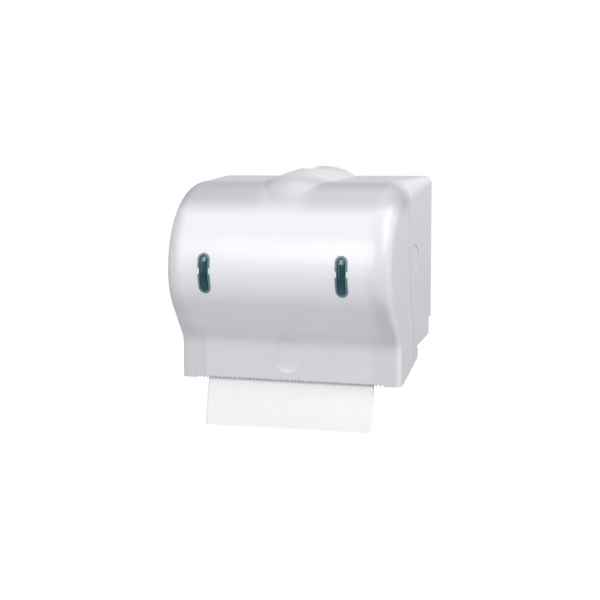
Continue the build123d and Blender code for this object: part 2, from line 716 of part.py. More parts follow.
def sprung_hub():
    """Right hub: a cup in the core that slides outwards on the post."""
    flange_in = ROLL_END + ROLL_END_GAP
    cup = disc_x(ROLL_END - HUB_IN_CORE, flange_in, ROLL_Y, ROLL_Z, HUB_R)
    cup -= disc_x(ROLL_END - HUB_IN_CORE - OVER, flange_in, ROLL_Y, ROLL_Z, HUB_R - HUB_WALL)
    flange = disc_x(flange_in, flange_in + HUB_FLANGE_T, ROLL_Y, ROLL_Z, HUB_FLANGE_R)
    tube_end = boss_face() - POST_FLANGE_T - PLUNGER_TRAVEL - PLUNGER_SPARE
    tube = disc_x(ROLL_END - HUB_IN_CORE + TUBE_SHORT, tube_end, ROLL_Y, ROLL_Z, PLUNGER_TUBE_R)
    bore = disc_x(ROLL_END - HUB_IN_CORE - OVER, tube_end + OVER, ROLL_Y, ROLL_Z, POST_R + POST_CLEAR)
    return cup + flange + tube - bore


def hub_spring():
    """Coil spring between the sprung hub and the post's base."""
    start = ROLL_END + ROLL_END_GAP + HUB_FLANGE_T + SPRING_WIRE_R + SPRING_SEAT_GAP
    end = boss_face() - POST_FLANGE_T - SPRING_WIRE_R - SPRING_SEAT_GAP
    pitch = (end - start) / SPRING_TURNS
    print("hub spring gap between turns", round(pitch - 2 * SPRING_WIRE_R, 2))
    coil = Helix(pitch, end - start, SPRING_R)
    wire = Plane(origin=coil @ 0, z_dir=coil % 0) * Circle(SPRING_WIRE_R)
    body = sweep(wire, path=coil, is_frenet=True)
    return Pos(start, ROLL_Y, ROLL_Z) * Rot(0, 90, 0) * body


def hub_screws():
    """One screw into each hub, its head under the side cap."""
    screws = []
    for side in (-1, 1):
        seat = HALF - CAP_RECESS
        head = disc_x(side * seat, side * (seat + SCREW_HEAD_T), ROLL_Y, ROLL_Z, SCREW_HEAD_R)
        tip = side * (boss_face() - HUB_SCREW_BITE)
        shank = disc_x(side * seat, tip, ROLL_Y, ROLL_Z, HUB_SCREW_R - THREAD_GAP)
        low = side * (seat + SCREW_HEAD_T - CROSS_DEEP)
        high = side * (seat + SCREW_HEAD_T + OVER)
        w = CROSS_W / 2
        reach = CROSS_L / 2
        cross = block(low, high, ROLL_Y - w, ROLL_Y + w, ROLL_Z - reach, ROLL_Z + reach)
        cross += block(low, high, ROLL_Y - reach, ROLL_Y + reach, ROLL_Z - w, ROLL_Z + w)
        screws.append(head + shank - cross)
    return Compound(children=screws)


def guide_arm(side):
    """Arm from the side wall to the guide bar."""
    foot_y = -ARM_FOOT_DEPTH
    foot_z = TOP_Z - ARM_FOOT_DROP
    reach = ARM_SCREW_SPACING / 2 + ARM_W / 2
    angle = atan2(BAR_Z - foot_z, BAR_Y - foot_y)
    rise_y = -sin(angle) * ARM_W / 2
    rise_z = cos(angle) * ARM_W / 2
    strip = [
        (foot_y + rise_y, foot_z + rise_z),
        (BAR_Y + rise_y, BAR_Z + rise_z),
        (BAR_Y - rise_y, BAR_Z - rise_z),
        (foot_y - rise_y, foot_z - rise_z),
    ]
    x0 = ARM_IN
    x1 = ARM_IN + ARM_T
    arm = side_prism(strip, x0, x1) + disc_x(x0, x1, BAR_Y, BAR_Z, ARM_W / 2)
    foot = block(x0, x1, foot_y - ARM_W / 2, foot_y + ARM_W / 2, foot_z - reach, foot_z + reach)
    arm += fillet(foot.edges().filter_by(Axis.X), ARM_FOOT_ROUND)
    arm -= disc_x(x0 - OVER, x1 + OVER, BAR_Y, BAR_Z, BAR_R + BAR_CLEAR)
    for y, z in arm_screw_places():
        arm -= disc_x(x0 - OVER, x1 + OVER, y, z, ARM_SCREW_R + HOLE_CLEAR)
    return arm if side > 0 else mirror(arm, Plane.YZ)


def guide_bar():
    """Steel bar that the paper turns down over."""
    reach = ARM_IN + ARM_T + CLIP_RING_T + BAR_PAST_CLIP
    bar = disc_x(-reach, reach, BAR_Y, BAR_Z, BAR_R)
    return chamfer(bar.edges().filter_by(GeomType.CIRCLE), BAR_CHAMFER)


def bar_clips():
    """Ring clips at both ends of the guide bar."""
    rings = []
    for side in (-1, 1):
        x0 = side * (ARM_IN + ARM_T + CLIP_SEAT_GAP)
        x1 = x0 + side * CLIP_RING_T
        ring = disc_x(x0, x1, BAR_Y, BAR_Z, CLIP_RING_R)
        ring -= disc_x(x0 - side, x1 + side, BAR_Y, BAR_Z, BAR_R + CLIP_GRIP)
        w = CLIP_SLOT_W / 2
        slot = block(x0 - side, x1 + side, BAR_Y - w, BAR_Y + w, BAR_Z, BAR_Z + 2 * CLIP_RING_R)
        rings.append(ring - slot)
    return Compound(children=rings)


def arm_screws():
    """Four screws that hold the guide arms to the side walls."""
    screws = []
    for side in (-1, 1):
        for y, z in arm_screw_places():
            seat = side * ARM_IN
            head = disc_x(seat, seat - side * SCREW_HEAD_T, y, z, ARM_HEAD_R)
            tip = seat + side * (ARM_T + ARM_SCREW_BITE)
            shank = disc_x(seat, tip, y, z, ARM_SCREW_R - THREAD_GAP)
            face = seat - side * SCREW_HEAD_T
            w = SLOT_W / 2
            slot = block(face + side * SLOT_DEEP, face - side, y - w, y + w, z - ARM_HEAD_R, z + ARM_HEAD_R)
            screws.append(head + shank - slot)
    return Compound(children=screws)


def paper_roll():
    """Wound paper on its core."""
    body = disc_x(-ROLL_END, ROLL_END, ROLL_Y, ROLL_Z, ROLL_R)
    body = fillet(body.edges().filter_by(GeomType.CIRCLE), ROLL_EDGE_R)
    return body - disc_x(-ROLL_END - OVER, ROLL_END + OVER, ROLL_Y, ROLL_Z, CORE_R + CORE_CLEAR)


def roll_core():
    """Cardboard tube inside the paper."""
    tube = disc_x(-ROLL_END, ROLL_END, ROLL_Y, ROLL_Z, CORE_R)
    return tube - disc_x(-ROLL_END - OVER, ROLL_END + OVER, ROLL_Y, ROLL_Z, CORE_IN_R)


def sheet_centre_points():
    """Tangent points of the paper on the roll and on the guide bar."""
    roll = ROLL_R + SHEET_SOFT_GAP + SHEET_T / 2
    bar = BAR_R + SHEET_SOFT_GAP + SHEET_T / 2
    dy = BAR_Y - ROLL_Y
    dz = BAR_Z - ROLL_Z
    span = hypot(dy, dz)
    turn = acos((roll - bar) / span)
    heading = atan2(dz, dy)
    normal = heading - turn
    ny = cos(normal)
    nz = sin(normal)
    return (ROLL_Y + roll * ny, ROLL_Z + roll * nz), (BAR_Y + bar * ny, BAR_Z + bar * nz)


def towel_sheet():
    """Paper from the roll over the guide bar and out below the teeth."""
    from_roll, on_bar = sheet_centre_points()
    bar = BAR_R + SHEET_SOFT_GAP + SHEET_T / 2
    below_bar = (BAR_Y - bar, BAR_Z)
    bend = (below_bar[0], TOP_Z - TAIL_BEND_DROP)
    low = (-TAIL_LOW_DEPTH, TOP_Z - TAIL_LOW_DROP)
    x = -ROLL_END
    path = [
        Line((x, *from_roll), (x, *on_bar)),
        round_corner((x, *on_bar), (x, *below_bar), (x, BAR_Y, BAR_Z)),
        Line((x, *below_bar), (x, *bend)),
    ]
    pulled = (x, bend[0], bend[1] - TAIL_PULL)
    leaning = (x, low[0] + TAIL_LEAN, low[1] + TAIL_LIFT)
    tail = Bezier((x, *bend), pulled, leaning, (x, *low))
    print("sheet length", round(sum(e.length for e in path) + tail.length, 1))
    width = SHEET_T / 2
    ribbon = None
    for edge in path + [tail]:
        count = 8 if edge is tail else 4
        stations = [edge @ (i / count) for i in range(count + 1)]
        tangents = [edge % (i / count) for i in range(count + 1)]
        front = [(x, p.Y - t.Z * width, p.Z + t.Y * width) for p, t in zip(stations, tangents)]
        rear = [(x, p.Y + t.Z * width, p.Z - t.Y * width) for p, t in zip(stations, tangents)]
        if edge is tail:
            sides = [
                Spline(front), Line(front[-1], rear[-1]),
                Spline(rear[::-1]), Line(rear[0], front[0]),
            ]
        elif edge is path[1]:
            mid = count // 2
            sides = [
                ThreePointArc(front[0], front[mid], front[-1]),
                Line(front[-1], rear[-1]),
                ThreePointArc(rear[-1], rear[mid], rear[0]),
                Line(rear[0], front[0]),
            ]
        else:
            sides = [
                Line(front[0], front[-1]), Line(front[-1], rear[-1]),
                Line(rear[-1], rear[0]), Line(rear[0], front[0]),
            ]
        piece = extrude(make_face(Wire(sides)), amount=ROLL_W, dir=(1, 0, 0))
        ribbon = piece if ribbon is None else ribbon + piece
    return ribbon


def lock_top():
    """Height of the lock's face."""
    return lock_floor_z() - LOCK_SINK + LOCK_BEZEL_T


def lock_body():
    """Fixed lock sleeve with its flange in the hump."""
    top = lock_top()
    flange = disc_z(top - LOCK_BEZEL_T, top, 0, LOCK_Y, LOCK_BEZEL_R)
    sleeve = disc_z(top - LOCK_LENGTH, top - LOCK_BEZEL_T, 0, LOCK_Y, LOCK_SLEEVE_R)
    bore = disc_z(top - LOCK_LENGTH - OVER, top + OVER, 0, LOCK_Y, LOCK_R + LOCK_CLEAR)
    return flange + sleeve - bore


def lock_nut():
    """Hexagon nut that clamps the lock sleeve from below."""
    top = lock_floor_z() - LOCK_SINK - WALL - LOCK_NUT_GAP
    hexagon = RegularPolygon(LOCK_NUT_ACROSS / 2, 6, major_radius=False)
    nut = Pos(0, LOCK_Y, top - LOCK_NUT_T) * extrude(hexagon, amount=LOCK_NUT_T)
    return nut - disc_z(top - LOCK_LENGTH, top + OVER, 0, LOCK_Y, LOCK_SLEEVE_R + LOCK_CLEAR)


def cam_top():
    """Height of the cam's upper face."""
    return lock_top() - LOCK_LENGTH - LOCK_END_GAP


def unlocked(shape):
    """A lock piece turned from its locked place to its place at rest."""
    return Pos(0, LOCK_Y, 0) * Rot(0, 0, -LOCK_TURN) * Pos(0, -LOCK_Y, 0) * shape


def lock_barrel():
    """Turning barrel with a key slot, and a square end for the cam."""
    top = lock_top() - BARREL_SINK
    end = cam_top()
    barrel = disc_z(end, top, 0, LOCK_Y, LOCK_R)
    slot_l = KEY_SLOT_L / 2
    slot_w = KEY_SLOT_W / 2
    slot = block(-slot_l, slot_l, LOCK_Y - slot_w, LOCK_Y + slot_w, top - KEY_SLOT_DEEP, top + OVER)
    half = SQUARE_W / 2
    square = block(-half, half, LOCK_Y - half, LOCK_Y + half, end - CAM_T, end)
    hole = disc_z(end - CAM_T - OVER, end + CAM_SCREW_L - CAM_T, 0, LOCK_Y, CAM_SCREW_R)
    return unlocked(barrel - slot + square - hole)


def lock_cam():
    """Flat cam with a peg at its tip that stands in front of the cover's catch."""
    top = cam_top()
    low = top - CAM_T
    tip_y = LOCK_Y - CAM_REACH
    plate = block(-CAM_W / 2, CAM_W / 2, tip_y, LOCK_Y, low, top)
    plate += disc_z(low, top, 0, LOCK_Y, CAM_EYE_R)
    plate += disc_z(low, top, 0, tip_y, CAM_W / 2)
    plate += disc_z(low - PEG_L, low, 0, tip_y, PEG_R)
    half = SQUARE_W / 2 + SQUARE_CLEAR
    eye = block(-half, half, LOCK_Y - half, LOCK_Y + half, low - OVER, top + OVER)
    return unlocked(plate - eye)


def cam_screw():
    """Screw that holds the cam on the barrel."""
    end = cam_top() - CAM_T
    head = disc_z(end, end - CAM_HEAD_T, 0, LOCK_Y, CAM_HEAD_R)
    shank = disc_z(end, end + CAM_SCREW_L, 0, LOCK_Y, CAM_SCREW_R - THREAD_GAP)
    slot = block(
        -CAM_HEAD_R, CAM_HEAD_R, LOCK_Y - SLOT_W / 2, LOCK_Y + SLOT_W / 2,
        end - CAM_HEAD_T - OVER, end - CAM_HEAD_T + SLOT_DEEP,
    )
    return unlocked(head + shank - slot)


def catch_plate_top():
    """Height of the catch plate's upper face, under the cam's peg."""
    return cam_top() - CAM_T - PEG_L - CATCH_GAP


def catch_post_y():
    """Place of the posts that carry the catch."""
    return LOCK_Y - CAM_REACH - PEG_R - CATCH_POST_AHEAD


def catch_posts():
    """Two posts under the dome that the catch is screwed to."""
    inset = WALL * POST_IN_WALL
    roof = dome_form(inset) + hump_form(inset, 0)
    posts = None
    for x in (-CATCH_POST_X, CATCH_POST_X):
        post = disc_z(catch_plate_top(), TOP_Z + HUMP_RISE, x, catch_post_y(), CATCH_POST_R) & roof
        posts = post if posts is None else posts + post
    return posts


def cover_catch():
    """Plate with a lip that the cam's peg holds back."""
    top = catch_plate_top()
    lip_front = LOCK_Y - CAM_REACH + PEG_R + CATCH_PLAY
    lip_rear = lip_front + CATCH_T
    front = catch_post_y() - CATCH_POST_R - CATCH_RIM
    half = CATCH_POST_X + CATCH_POST_R + CATCH_RIM
    plate = block(-half, half, front, lip_rear, top - CATCH_T, top)
    lip_top = cam_top() - CAM_T - CATCH_GAP
    lip = block(-CATCH_LIP_HALF, CATCH_LIP_HALF, lip_front, lip_rear, top - CATCH_LIP_SINK, lip_top)
    body = plate + lip
    for x in (-CATCH_POST_X, CATCH_POST_X):
        body -= disc_z(top - CATCH_T - OVER, top + OVER, x, catch_post_y(), CATCH_SCREW_R + HOLE_CLEAR)
    return body


def catch_screws():
    """Two screws up through the catch into its posts."""
    screws = []
    seat = catch_plate_top() - CATCH_T
    for x in (-CATCH_POST_X, CATCH_POST_X):
        y = catch_post_y()
        r = CATCH_SCREW_R * 2
        head = disc_z(seat - CATCH_HEAD_T, seat, x, y, r)
        shank = disc_z(seat, seat + CATCH_T + CATCH_SCREW_BITE, x, y, CATCH_SCREW_R - THREAD_GAP)
        low = seat - CATCH_HEAD_T
        slot = block(x - r, x + r, y - SLOT_W / 2, y + SLOT_W / 2, low - OVER, low + SLOT_DEEP)
        screws.append(head + shank - slot)
    return Compound(children=screws)


WHITE = (0.93, 0.93, 0.95)
TEAL = (0.10, 0.38, 0.40)
STEEL = (0.70, 0.71, 0.73)
PAPER = (0.96, 0.96, 0.95)
CARD = (0.72, 0.60, 0.45)
GREY = (0.55, 0.56, 0.58)

wall = shell()
save(back_housing(wall), "back_housing", WHITE)
save(front_cover(wall), "front_cover", WHITE)
for name, x in (("left", -WINDOW_X), ("right", WINDOW_X)):
    save(window_bezel(x), f"window_bezel_{name}", TEAL)
    save(window_lens(x), f"window_lens_{name}", TEAL)
    save(window_clip(x), f"window_clip_{name}", GREY)
for name, side in (("left", -1), ("right", 1)):
    save(hinge_pin(side), f"hinge_pin_{name}", STEEL)
    save(side_cap(side), f"side_cap_{name}", WHITE)
    save(guide_arm(side), f"guide_arm_{name}", GREY)
save(fixed_hub(), "fixed_hub", GREY)
save(hub_post(), "hub_post", GREY)
save(sprung_hub(), "sprung_hub", GREY)
save(hub_spring(), "hub_spring", STEEL)
save(hub_screws(), "hub_screws", STEEL)
save(guide_bar(), "guide_bar", STEEL)
save(bar_clips(), "guide_bar_clips", STEEL)
save(arm_screws(), "guide_arm_screws", STEEL)
save(paper_roll(), "paper_roll", PAPER)
save(roll_core(), "roll_core", CARD)
save(towel_sheet(), "towel_sheet", PAPER)
save(lock_body(), "lock_body", STEEL)
save(lock_nut(), "lock_nut", STEEL)
save(lock_barrel(), "lock_barrel", STEEL)
save(lock_cam(), "lock_cam", STEEL)
save(cam_screw(), "cam_screw", STEEL)
save(cover_catch(), "cover_catch", STEEL)
save(catch_screws(), "catch_screws", STEEL)
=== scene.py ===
"""Looks of a wall-mounted roll towel dispenser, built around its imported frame.

Metres, in the frame's own axes: +Z up, +Y into the wall, the cover facing -Y.
"""
import logging
import math
from dataclasses import dataclass
from enum import Enum
from typing import Dict, List, Optional, Sequence, Tuple

import bpy
import numpy as np
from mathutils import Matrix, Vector

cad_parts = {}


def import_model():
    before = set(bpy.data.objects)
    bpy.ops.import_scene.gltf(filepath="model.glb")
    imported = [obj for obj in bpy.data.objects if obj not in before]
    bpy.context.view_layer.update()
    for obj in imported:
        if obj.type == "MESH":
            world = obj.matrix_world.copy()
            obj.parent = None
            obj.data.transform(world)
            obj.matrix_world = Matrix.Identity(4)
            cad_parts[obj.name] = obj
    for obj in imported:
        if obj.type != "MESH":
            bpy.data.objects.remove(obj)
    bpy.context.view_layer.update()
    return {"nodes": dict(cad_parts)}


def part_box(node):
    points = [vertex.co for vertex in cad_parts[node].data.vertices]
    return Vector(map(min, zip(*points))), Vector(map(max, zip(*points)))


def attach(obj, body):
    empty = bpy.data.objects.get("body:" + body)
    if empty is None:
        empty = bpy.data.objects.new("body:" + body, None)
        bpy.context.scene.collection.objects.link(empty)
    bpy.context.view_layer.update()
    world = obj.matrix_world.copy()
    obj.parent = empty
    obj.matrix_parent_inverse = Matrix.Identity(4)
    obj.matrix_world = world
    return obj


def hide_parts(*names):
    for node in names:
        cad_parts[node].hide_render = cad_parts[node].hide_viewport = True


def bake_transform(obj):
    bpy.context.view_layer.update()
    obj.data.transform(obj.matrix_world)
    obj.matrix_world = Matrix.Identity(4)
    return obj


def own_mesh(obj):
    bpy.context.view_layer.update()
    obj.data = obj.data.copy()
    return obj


LOG = logging.getLogger("dispenser")
FINE = 0.0001                 # depth of a fine grain
COARSE = 0.0002               # depth of the grain on wound paper and board
HAIR = 0.0001                 # radii closer than this are the same
EDGE_SAMPLES = 4              # rays for each softened edge
WHITE = (1.0, 1.0, 1.0, 1.0)
MILLIMETRES = 1000            # in a metre
MIX_COLOURS = (6, 7)          # sockets of the Mix node's two colours
MIX_RESULT = 2                # and of the colour that it gives

Span = Tuple[float, float]
Point = Tuple[float, float, float]
Colour = Tuple[float, float, float]
Socket = bpy.types.NodeSocket
Material = bpy.types.Material
Nodes = Dict[str, bpy.types.Object]


class Axis(Enum):
    """A direction that a brushed or drawn finish runs along."""

    X = 0
    Y = 1
    Z = 2


class LowerEdge(Enum):
    """How the towel is finished at its lower edge."""

    TORN = "torn"
    CUT = "cut"


class Shader:
    """A material under construction, with short calls for the nodes it needs."""

    def __init__(self, name: str, round_edge: float = 0.0) -> None:
        """Start an empty material.

        Args:
            name: The material's name.
            round_edge: Metres over which sharp edges catch the light.
        """
        self.round_edge = round_edge
        self.material = bpy.data.materials.new(name)
        self.material.use_nodes = True
        self.tree = self.material.node_tree
        self.tree.nodes.clear()
        self.output = self.tree.nodes.new("ShaderNodeOutputMaterial")
        self.surface = self.tree.nodes.new("ShaderNodeBsdfPrincipled")
        self.link(self.surface.outputs["BSDF"], self.output.inputs["Surface"])

    def node(self, kind: str, **settings: object) -> bpy.types.Node:
        """Add a node and set its own options.

        Args:
            kind: The node's type name without its ShaderNode prefix.
            settings: Options of the node, such as operation or data_type.

        Returns:
            The new node.
        """
        made = self.tree.nodes.new("ShaderNode" + kind)
        for key, value in settings.items():
            setattr(made, key, value)
        return made

    def link(self, source: Socket, target: Socket) -> None:
        """Join one node's output to another's input."""
        self.tree.links.new(source, target)

    def drive(self, socket: str, source: Socket) -> None:
        """Let a node's output drive one of the surface shader's sockets."""
        self.link(source, self.surface.inputs[socket])

    def set(self, **values: object) -> None:
        """Set uniform values on the surface shader's own sockets.

        Args:
            values: Socket names, with underscores for spaces, and their values.
        """
        for key, value in values.items():
            self.surface.inputs[key.replace("_", " ")].default_value = value

    def place(self) -> Socket:
        """Return the position on the object, in the object's own metres."""
        return self.node("TexCoord").outputs["Object"]

    def parts(self) -> Sequence[Socket]:
        """Split up the position on the object.

        Returns:
            Its X, Y and Z.
        """
        split = self.node("SeparateXYZ")
        self.link(self.place(), split.inputs["Vector"])
        return [split.outputs[axis] for axis in "XYZ"]

    def stretched(self, scale: Point) -> Socket:
        """Return object positions stretched by a factor along each axis.

        Args:
            scale: Factors along X, Y and Z.

        Returns:
            The stretched position.
        """
        mapping = self.node("Mapping")
        mapping.inputs["Scale"].default_value = scale
        self.link(self.place(), mapping.inputs["Vector"])
        return mapping.outputs["Vector"]

    def remap(
        self, value: Socket, low: float, high: float,
        to_low: float = 0.0, to_high: float = 1.0, smooth: bool = False,
    ) -> Socket:
        """Return a value moved from one range to another, and clamped there.

        Args:
            value: The value to move.
            low: Where the old range starts.
            high: Where the old range ends.
            to_low: Result at the start.
            to_high: Result at the end.
            smooth: Whether the ends ease in and out.

        Returns:
            The new value.
        """
        made = self.node("MapRange", clamp=True)
        if smooth:
            made.interpolation_type = "SMOOTHSTEP"
        self.link(value, made.inputs["Value"])
        made.inputs["From Min"].default_value = low
        made.inputs["From Max"].default_value = high
        made.inputs["To Min"].default_value = to_low
        made.inputs["To Max"].default_value = to_high
        return made.outputs["Result"]

    def maths(self, operation: str, first: object, second: object = 0.0) -> Socket:
        """Return a sum of two values, each a number or another node's output.

        Args:
            operation: Name of the sum, such as ADD or MULTIPLY.
            first: First value.
            second: Second value.

        Returns:
            The result.
        """
        made = self.node("Math", operation=operation)
        for index, value in enumerate((first, second)):
            if isinstance(value, (int, float)):
                made.inputs[index].default_value = value
            else:
                self.link(value, made.inputs[index])
        return made.outputs["Value"]

    def product(self, first: object, *others: object) -> Socket:
        """Return the product of values, each a number or another node's output."""
        for other in others:
            first = self.maths("MULTIPLY", first, other)
        return first

    def off_axis(self, centre: Span) -> Sequence[Socket]:
        """Return how far a point lies from an axis along X.

        Args:
            centre: The axis, as Y and Z.

        Returns:
            The distances along Y and along Z.
        """
        places = self.parts()[1:]
        return [self.maths("SUBTRACT", place, middle) for place, middle in zip(places, centre)]

    def blend_colour(self, share: Socket, first: object, second: object) -> Socket:
        """Return a mix of two colours.

        Args:
            share: How much of the second colour shows, from 0 to 1.
            first: A colour, or another node's colour.
            second: A colour, or another node's colour.

        Returns:
            The mixed colour.
        """
        made = self.node("Mix", data_type="RGBA")
        self.link(share, made.inputs[0])
        for index, value in zip(MIX_COLOURS, (first, second)):
            if isinstance(value, tuple):
                made.inputs[index].default_value = (*value, 1.0)
            else:
                self.link(value, made.inputs[index])
        return made.outputs[MIX_RESULT]

    def bump(self, height: Socket, strength: float, depth: float) -> None:
        """Raise the surface's light by a height.

        Args:
            height: The height, from 0 to 1.
            strength: How much of it shows.
            depth: Full height in metres.
        """
        made = self.node("Bump")
        made.inputs["Strength"].default_value = strength
        made.inputs["Distance"].default_value = depth
        if self.round_edge:
            edge = self.node("Bevel", samples=EDGE_SAMPLES)
            edge.inputs["Radius"].default_value = self.round_edge
            self.link(edge.outputs["Normal"], made.inputs["Normal"])
        self.link(height, made.inputs["Height"])
        self.drive("Normal", made.outputs["Normal"])


@dataclass(frozen=True)
class Mottle:
    """Uneven patches over an object.

    Scale is in cells in each metre, detail in octaves of finer noise, rough is
    how strong the finer octaves are and span the part of the noise that is used.
    """

    scale: float
    detail: float = 3.0
    rough: float = 0.5
    span: Span = (0.3, 0.7)

    def raw(self, shader: Shader, vector: Optional[Socket] = None) -> Socket:
        """Return the noise itself.

        Args:
            shader: The material it is made in.
            vector: Where to look it up; the object's position by default.

        Returns:
            The noise, from 0 to 1.
        """
        texture = shader.node("TexNoise")
        texture.inputs["Scale"].default_value = self.scale
        texture.inputs["Detail"].default_value = self.detail
        texture.inputs["Roughness"].default_value = self.rough
        shader.link(vector or shader.place(), texture.inputs["Vector"])
        return texture.outputs["Fac"]

    def share(self, shader: Shader, low: float = 0.0, high: float = 1.0) -> Socket:
        """Return the noise moved from its span to a range, and clamped there.

        Args:
            shader: The material it is made in.
            low: Result at the span's start.
            high: Result at the span's end.

        Returns:
            The moved noise.
        """
        return shader.remap(self.raw(shader), *self.span, low, high)


@dataclass(frozen=True)
class PearlPlastic:
    """Moulded pearl-white plastic with a soft sheen and a faint grain.

    Clouds mix its two colours and patches its two roughnesses. Glow is the light
    that comes back from inside, and round edge the width over which its edges
    catch the light.
    """

    name: str
    base: Colour = (0.78, 0.78, 0.815)
    cloud: Colour = (0.765, 0.765, 0.805)
    clouds: Mottle = Mottle(9.0, 4.0, span=(0.35, 0.65))
    patches: Mottle = Mottle(60.0)
    roughness: Span = (0.30, 0.38)
    grain: Mottle = Mottle(1500.0, 2.0, 0.6)
    grain_strength: float = 0.08
    coat: float = 0.18
    coat_roughness: float = 0.20
    glow: float = 0.05
    glow_reach: Point = (0.004, 0.004, 0.005)
    ior: float = 1.5
    round_edge: float = 0.0007

    def build(self) -> Material:
        """Make the finish.

        Returns:
            The finished material.
        """
        shader = Shader(self.name, self.round_edge)
        self.paint(shader, shader.blend_colour(self.clouds.share(shader), self.base, self.cloud))
        shader.drive("Roughness", self.patches.share(shader, *self.roughness))
        shader.bump(self.grain.raw(shader), self.grain_strength, FINE)
        shader.set(Coat_Weight=self.coat, Coat_Roughness=self.coat_roughness)
        shader.set(Subsurface_Weight=self.glow, Subsurface_Radius=self.glow_reach)
        shader.set(IOR=self.ior)
        return shader.material

    def paint(self, shader: Shader, colour: Socket) -> None:
        """Give the shader its plain colour."""
        shader.drive("Base Color", colour)


@dataclass(frozen=True)
class PaintedShadeCoverPlastic(PearlPlastic):
    """Pearl plastic with shade painted into its colour on the skirt and border.

    The skirt under the bulge is painted shade, darker than the rest, and painted a little lighter
    only as wide as the towel hangs behind it; the cover's border beside and above the roll is
    painted shade, greyer, but less so on its hump. Halves are distances from the middle, rises
    are heights, and each span is where one shade gives way to the next.
    """

    # painted shade: darker skirt colours below the bulge, a little less dark where the towel
    # hangs behind
    skirt_shade: Colour = (0.635, 0.635, 0.675)
    skirt_shade_on_towel: Colour = (0.685, 0.685, 0.72)
    skirt_shade_rise: Span = (-0.104, -0.078)
    towel_half: float = 0.095
    towel_fade: float = 0.0012
    # painted shade: a greyer colour for the cover's border beside and above the roll, weaker on
    # the hump
    border_shade: Colour = (0.475, 0.475, 0.52)
    border_shade_half: Span = (0.099, 0.112)
    border_shade_rise: Span = (0.034, 0.058)
    border_shade_depth: Span = (-0.102, -0.084)
    border_shade_beside: float = 0.30
    border_shade_behind: float = 0.30
    flank_half: Span = (0.1205, 0.1235)
    hump_half: Span = (0.014, 0.036)
    hump_border_shade: float = 0.7

    def paint(self, shader: Shader, colour: Socket) -> None:
        """Paint shade into the cover's colour on its skirt and border.

        Args:
            shader: The material it is made in.
            colour: The plastic's own colour.
        """
        x, y, z = shader.parts()
        side = shader.maths("ABSOLUTE", x)
        # painted shade on the skirt below the bulge, painted a little lighter as wide as the
        # towel behind it
        towel = (self.towel_half - self.towel_fade, self.towel_half + self.towel_fade)
        on_towel = shader.remap(side, *towel, 1, 0)
        skirt_shade = shader.blend_colour(on_towel, self.skirt_shade, self.skirt_shade_on_towel)
        flat = shader.remap(side, *self.flank_half, 1, 0)
        below = shader.remap(z, *self.skirt_shade_rise, 1, 0, smooth=True)
        with_skirt_shade = shader.blend_colour(shader.product(below, flat), colour, skirt_shade)
        # painted shade on the cover's border beside and above the roll, less on the hump, none on
        # the skirt
        beside = shader.product(
            shader.remap(side, *self.border_shade_half, smooth=True), flat, self.border_shade_beside
        )
        shade_over = shader.product(
            shader.remap(z, *self.border_shade_rise, smooth=True),
            shader.remap(y, *self.border_shade_depth, 1, self.border_shade_behind, smooth=True),
            shader.remap(side, *self.hump_half, self.hump_border_shade, 1, smooth=True),
        )
        edge = shader.maths("MAXIMUM", beside, shade_over)
        border_shade_share = shader.product(edge, shader.maths("SUBTRACT", 1.0, below))
        shader.drive("Base Color", shader.blend_colour(border_shade_share, with_skirt_shade, self.border_shade))


@dataclass(frozen=True)
class MouldedPlastic:
    """Plain satin plastic with flow clouds and a fine grain."""

    name: str
    base: Colour
    dark: Colour
    roughness: Span = (0.38, 0.50)
    clouds: Mottle = Mottle(45.0, 4.0, span=(0.35, 0.7))
    patches: Mottle = Mottle(220.0)
    grain: Mottle = Mottle(1800.0, 2.0)
    grain_strength: float = 0.15

    def build(self) -> Material:
        """Make the finish.

        Returns:
            The finished material.
        """
        shader = Shader(self.name)
        clouds = self.clouds.share(shader)
        shader.drive("Base Color", shader.blend_colour(clouds, self.base, self.dark))
        shader.drive("Roughness", self.patches.share(shader, *self.roughness))
        shader.bump(self.grain.raw(shader), self.grain_strength, FINE)
        return shader.material


@dataclass(frozen=True)
class TintedLens:
    """Polished clear plastic with a deep teal tint, crowned across its width.

    Drift mixes its two tints and clear is the share of light that passes through.
    Middle and half width are those of the crown, measured from the cover's
    middle to either side.
    """

    name: str
    base: Colour = (0.014, 0.070, 0.095)
    deep: Colour = (0.010, 0.052, 0.075)
    drift: Mottle = Mottle(120.0, 2.0)
    patches: Mottle = Mottle(400.0)
    roughness: Span = (0.04, 0.09)
    clear: float = 0.12
    ior: float = 1.49
    coat: float = 0.6
    coat_roughness: float = 0.05
    middle: float = 0.0765
    half_width: float = 0.0030
    crown: float = 0.0006

    def build(self) -> Material:
        """Make the finish.

        Returns:
            The finished material.
        """
        shader = Shader(self.name)
        drift = self.drift.share(shader)
        shader.drive("Base Color", shader.blend_colour(drift, self.base, self.deep))
        shader.drive("Roughness", self.patches.share(shader, *self.roughness))
        shader.set(Transmission_Weight=self.clear, IOR=self.ior)
        shader.set(Coat_Weight=self.coat, Coat_Roughness=self.coat_roughness)
        side = shader.maths("ABSOLUTE", shader.parts()[0])
        off = shader.maths("DIVIDE", shader.maths("SUBTRACT", side, self.middle), self.half_width)
        shader.bump(shader.maths("SUBTRACT", 1.0, shader.product(off, off)), 1.0, self.crown)
        return shader.material


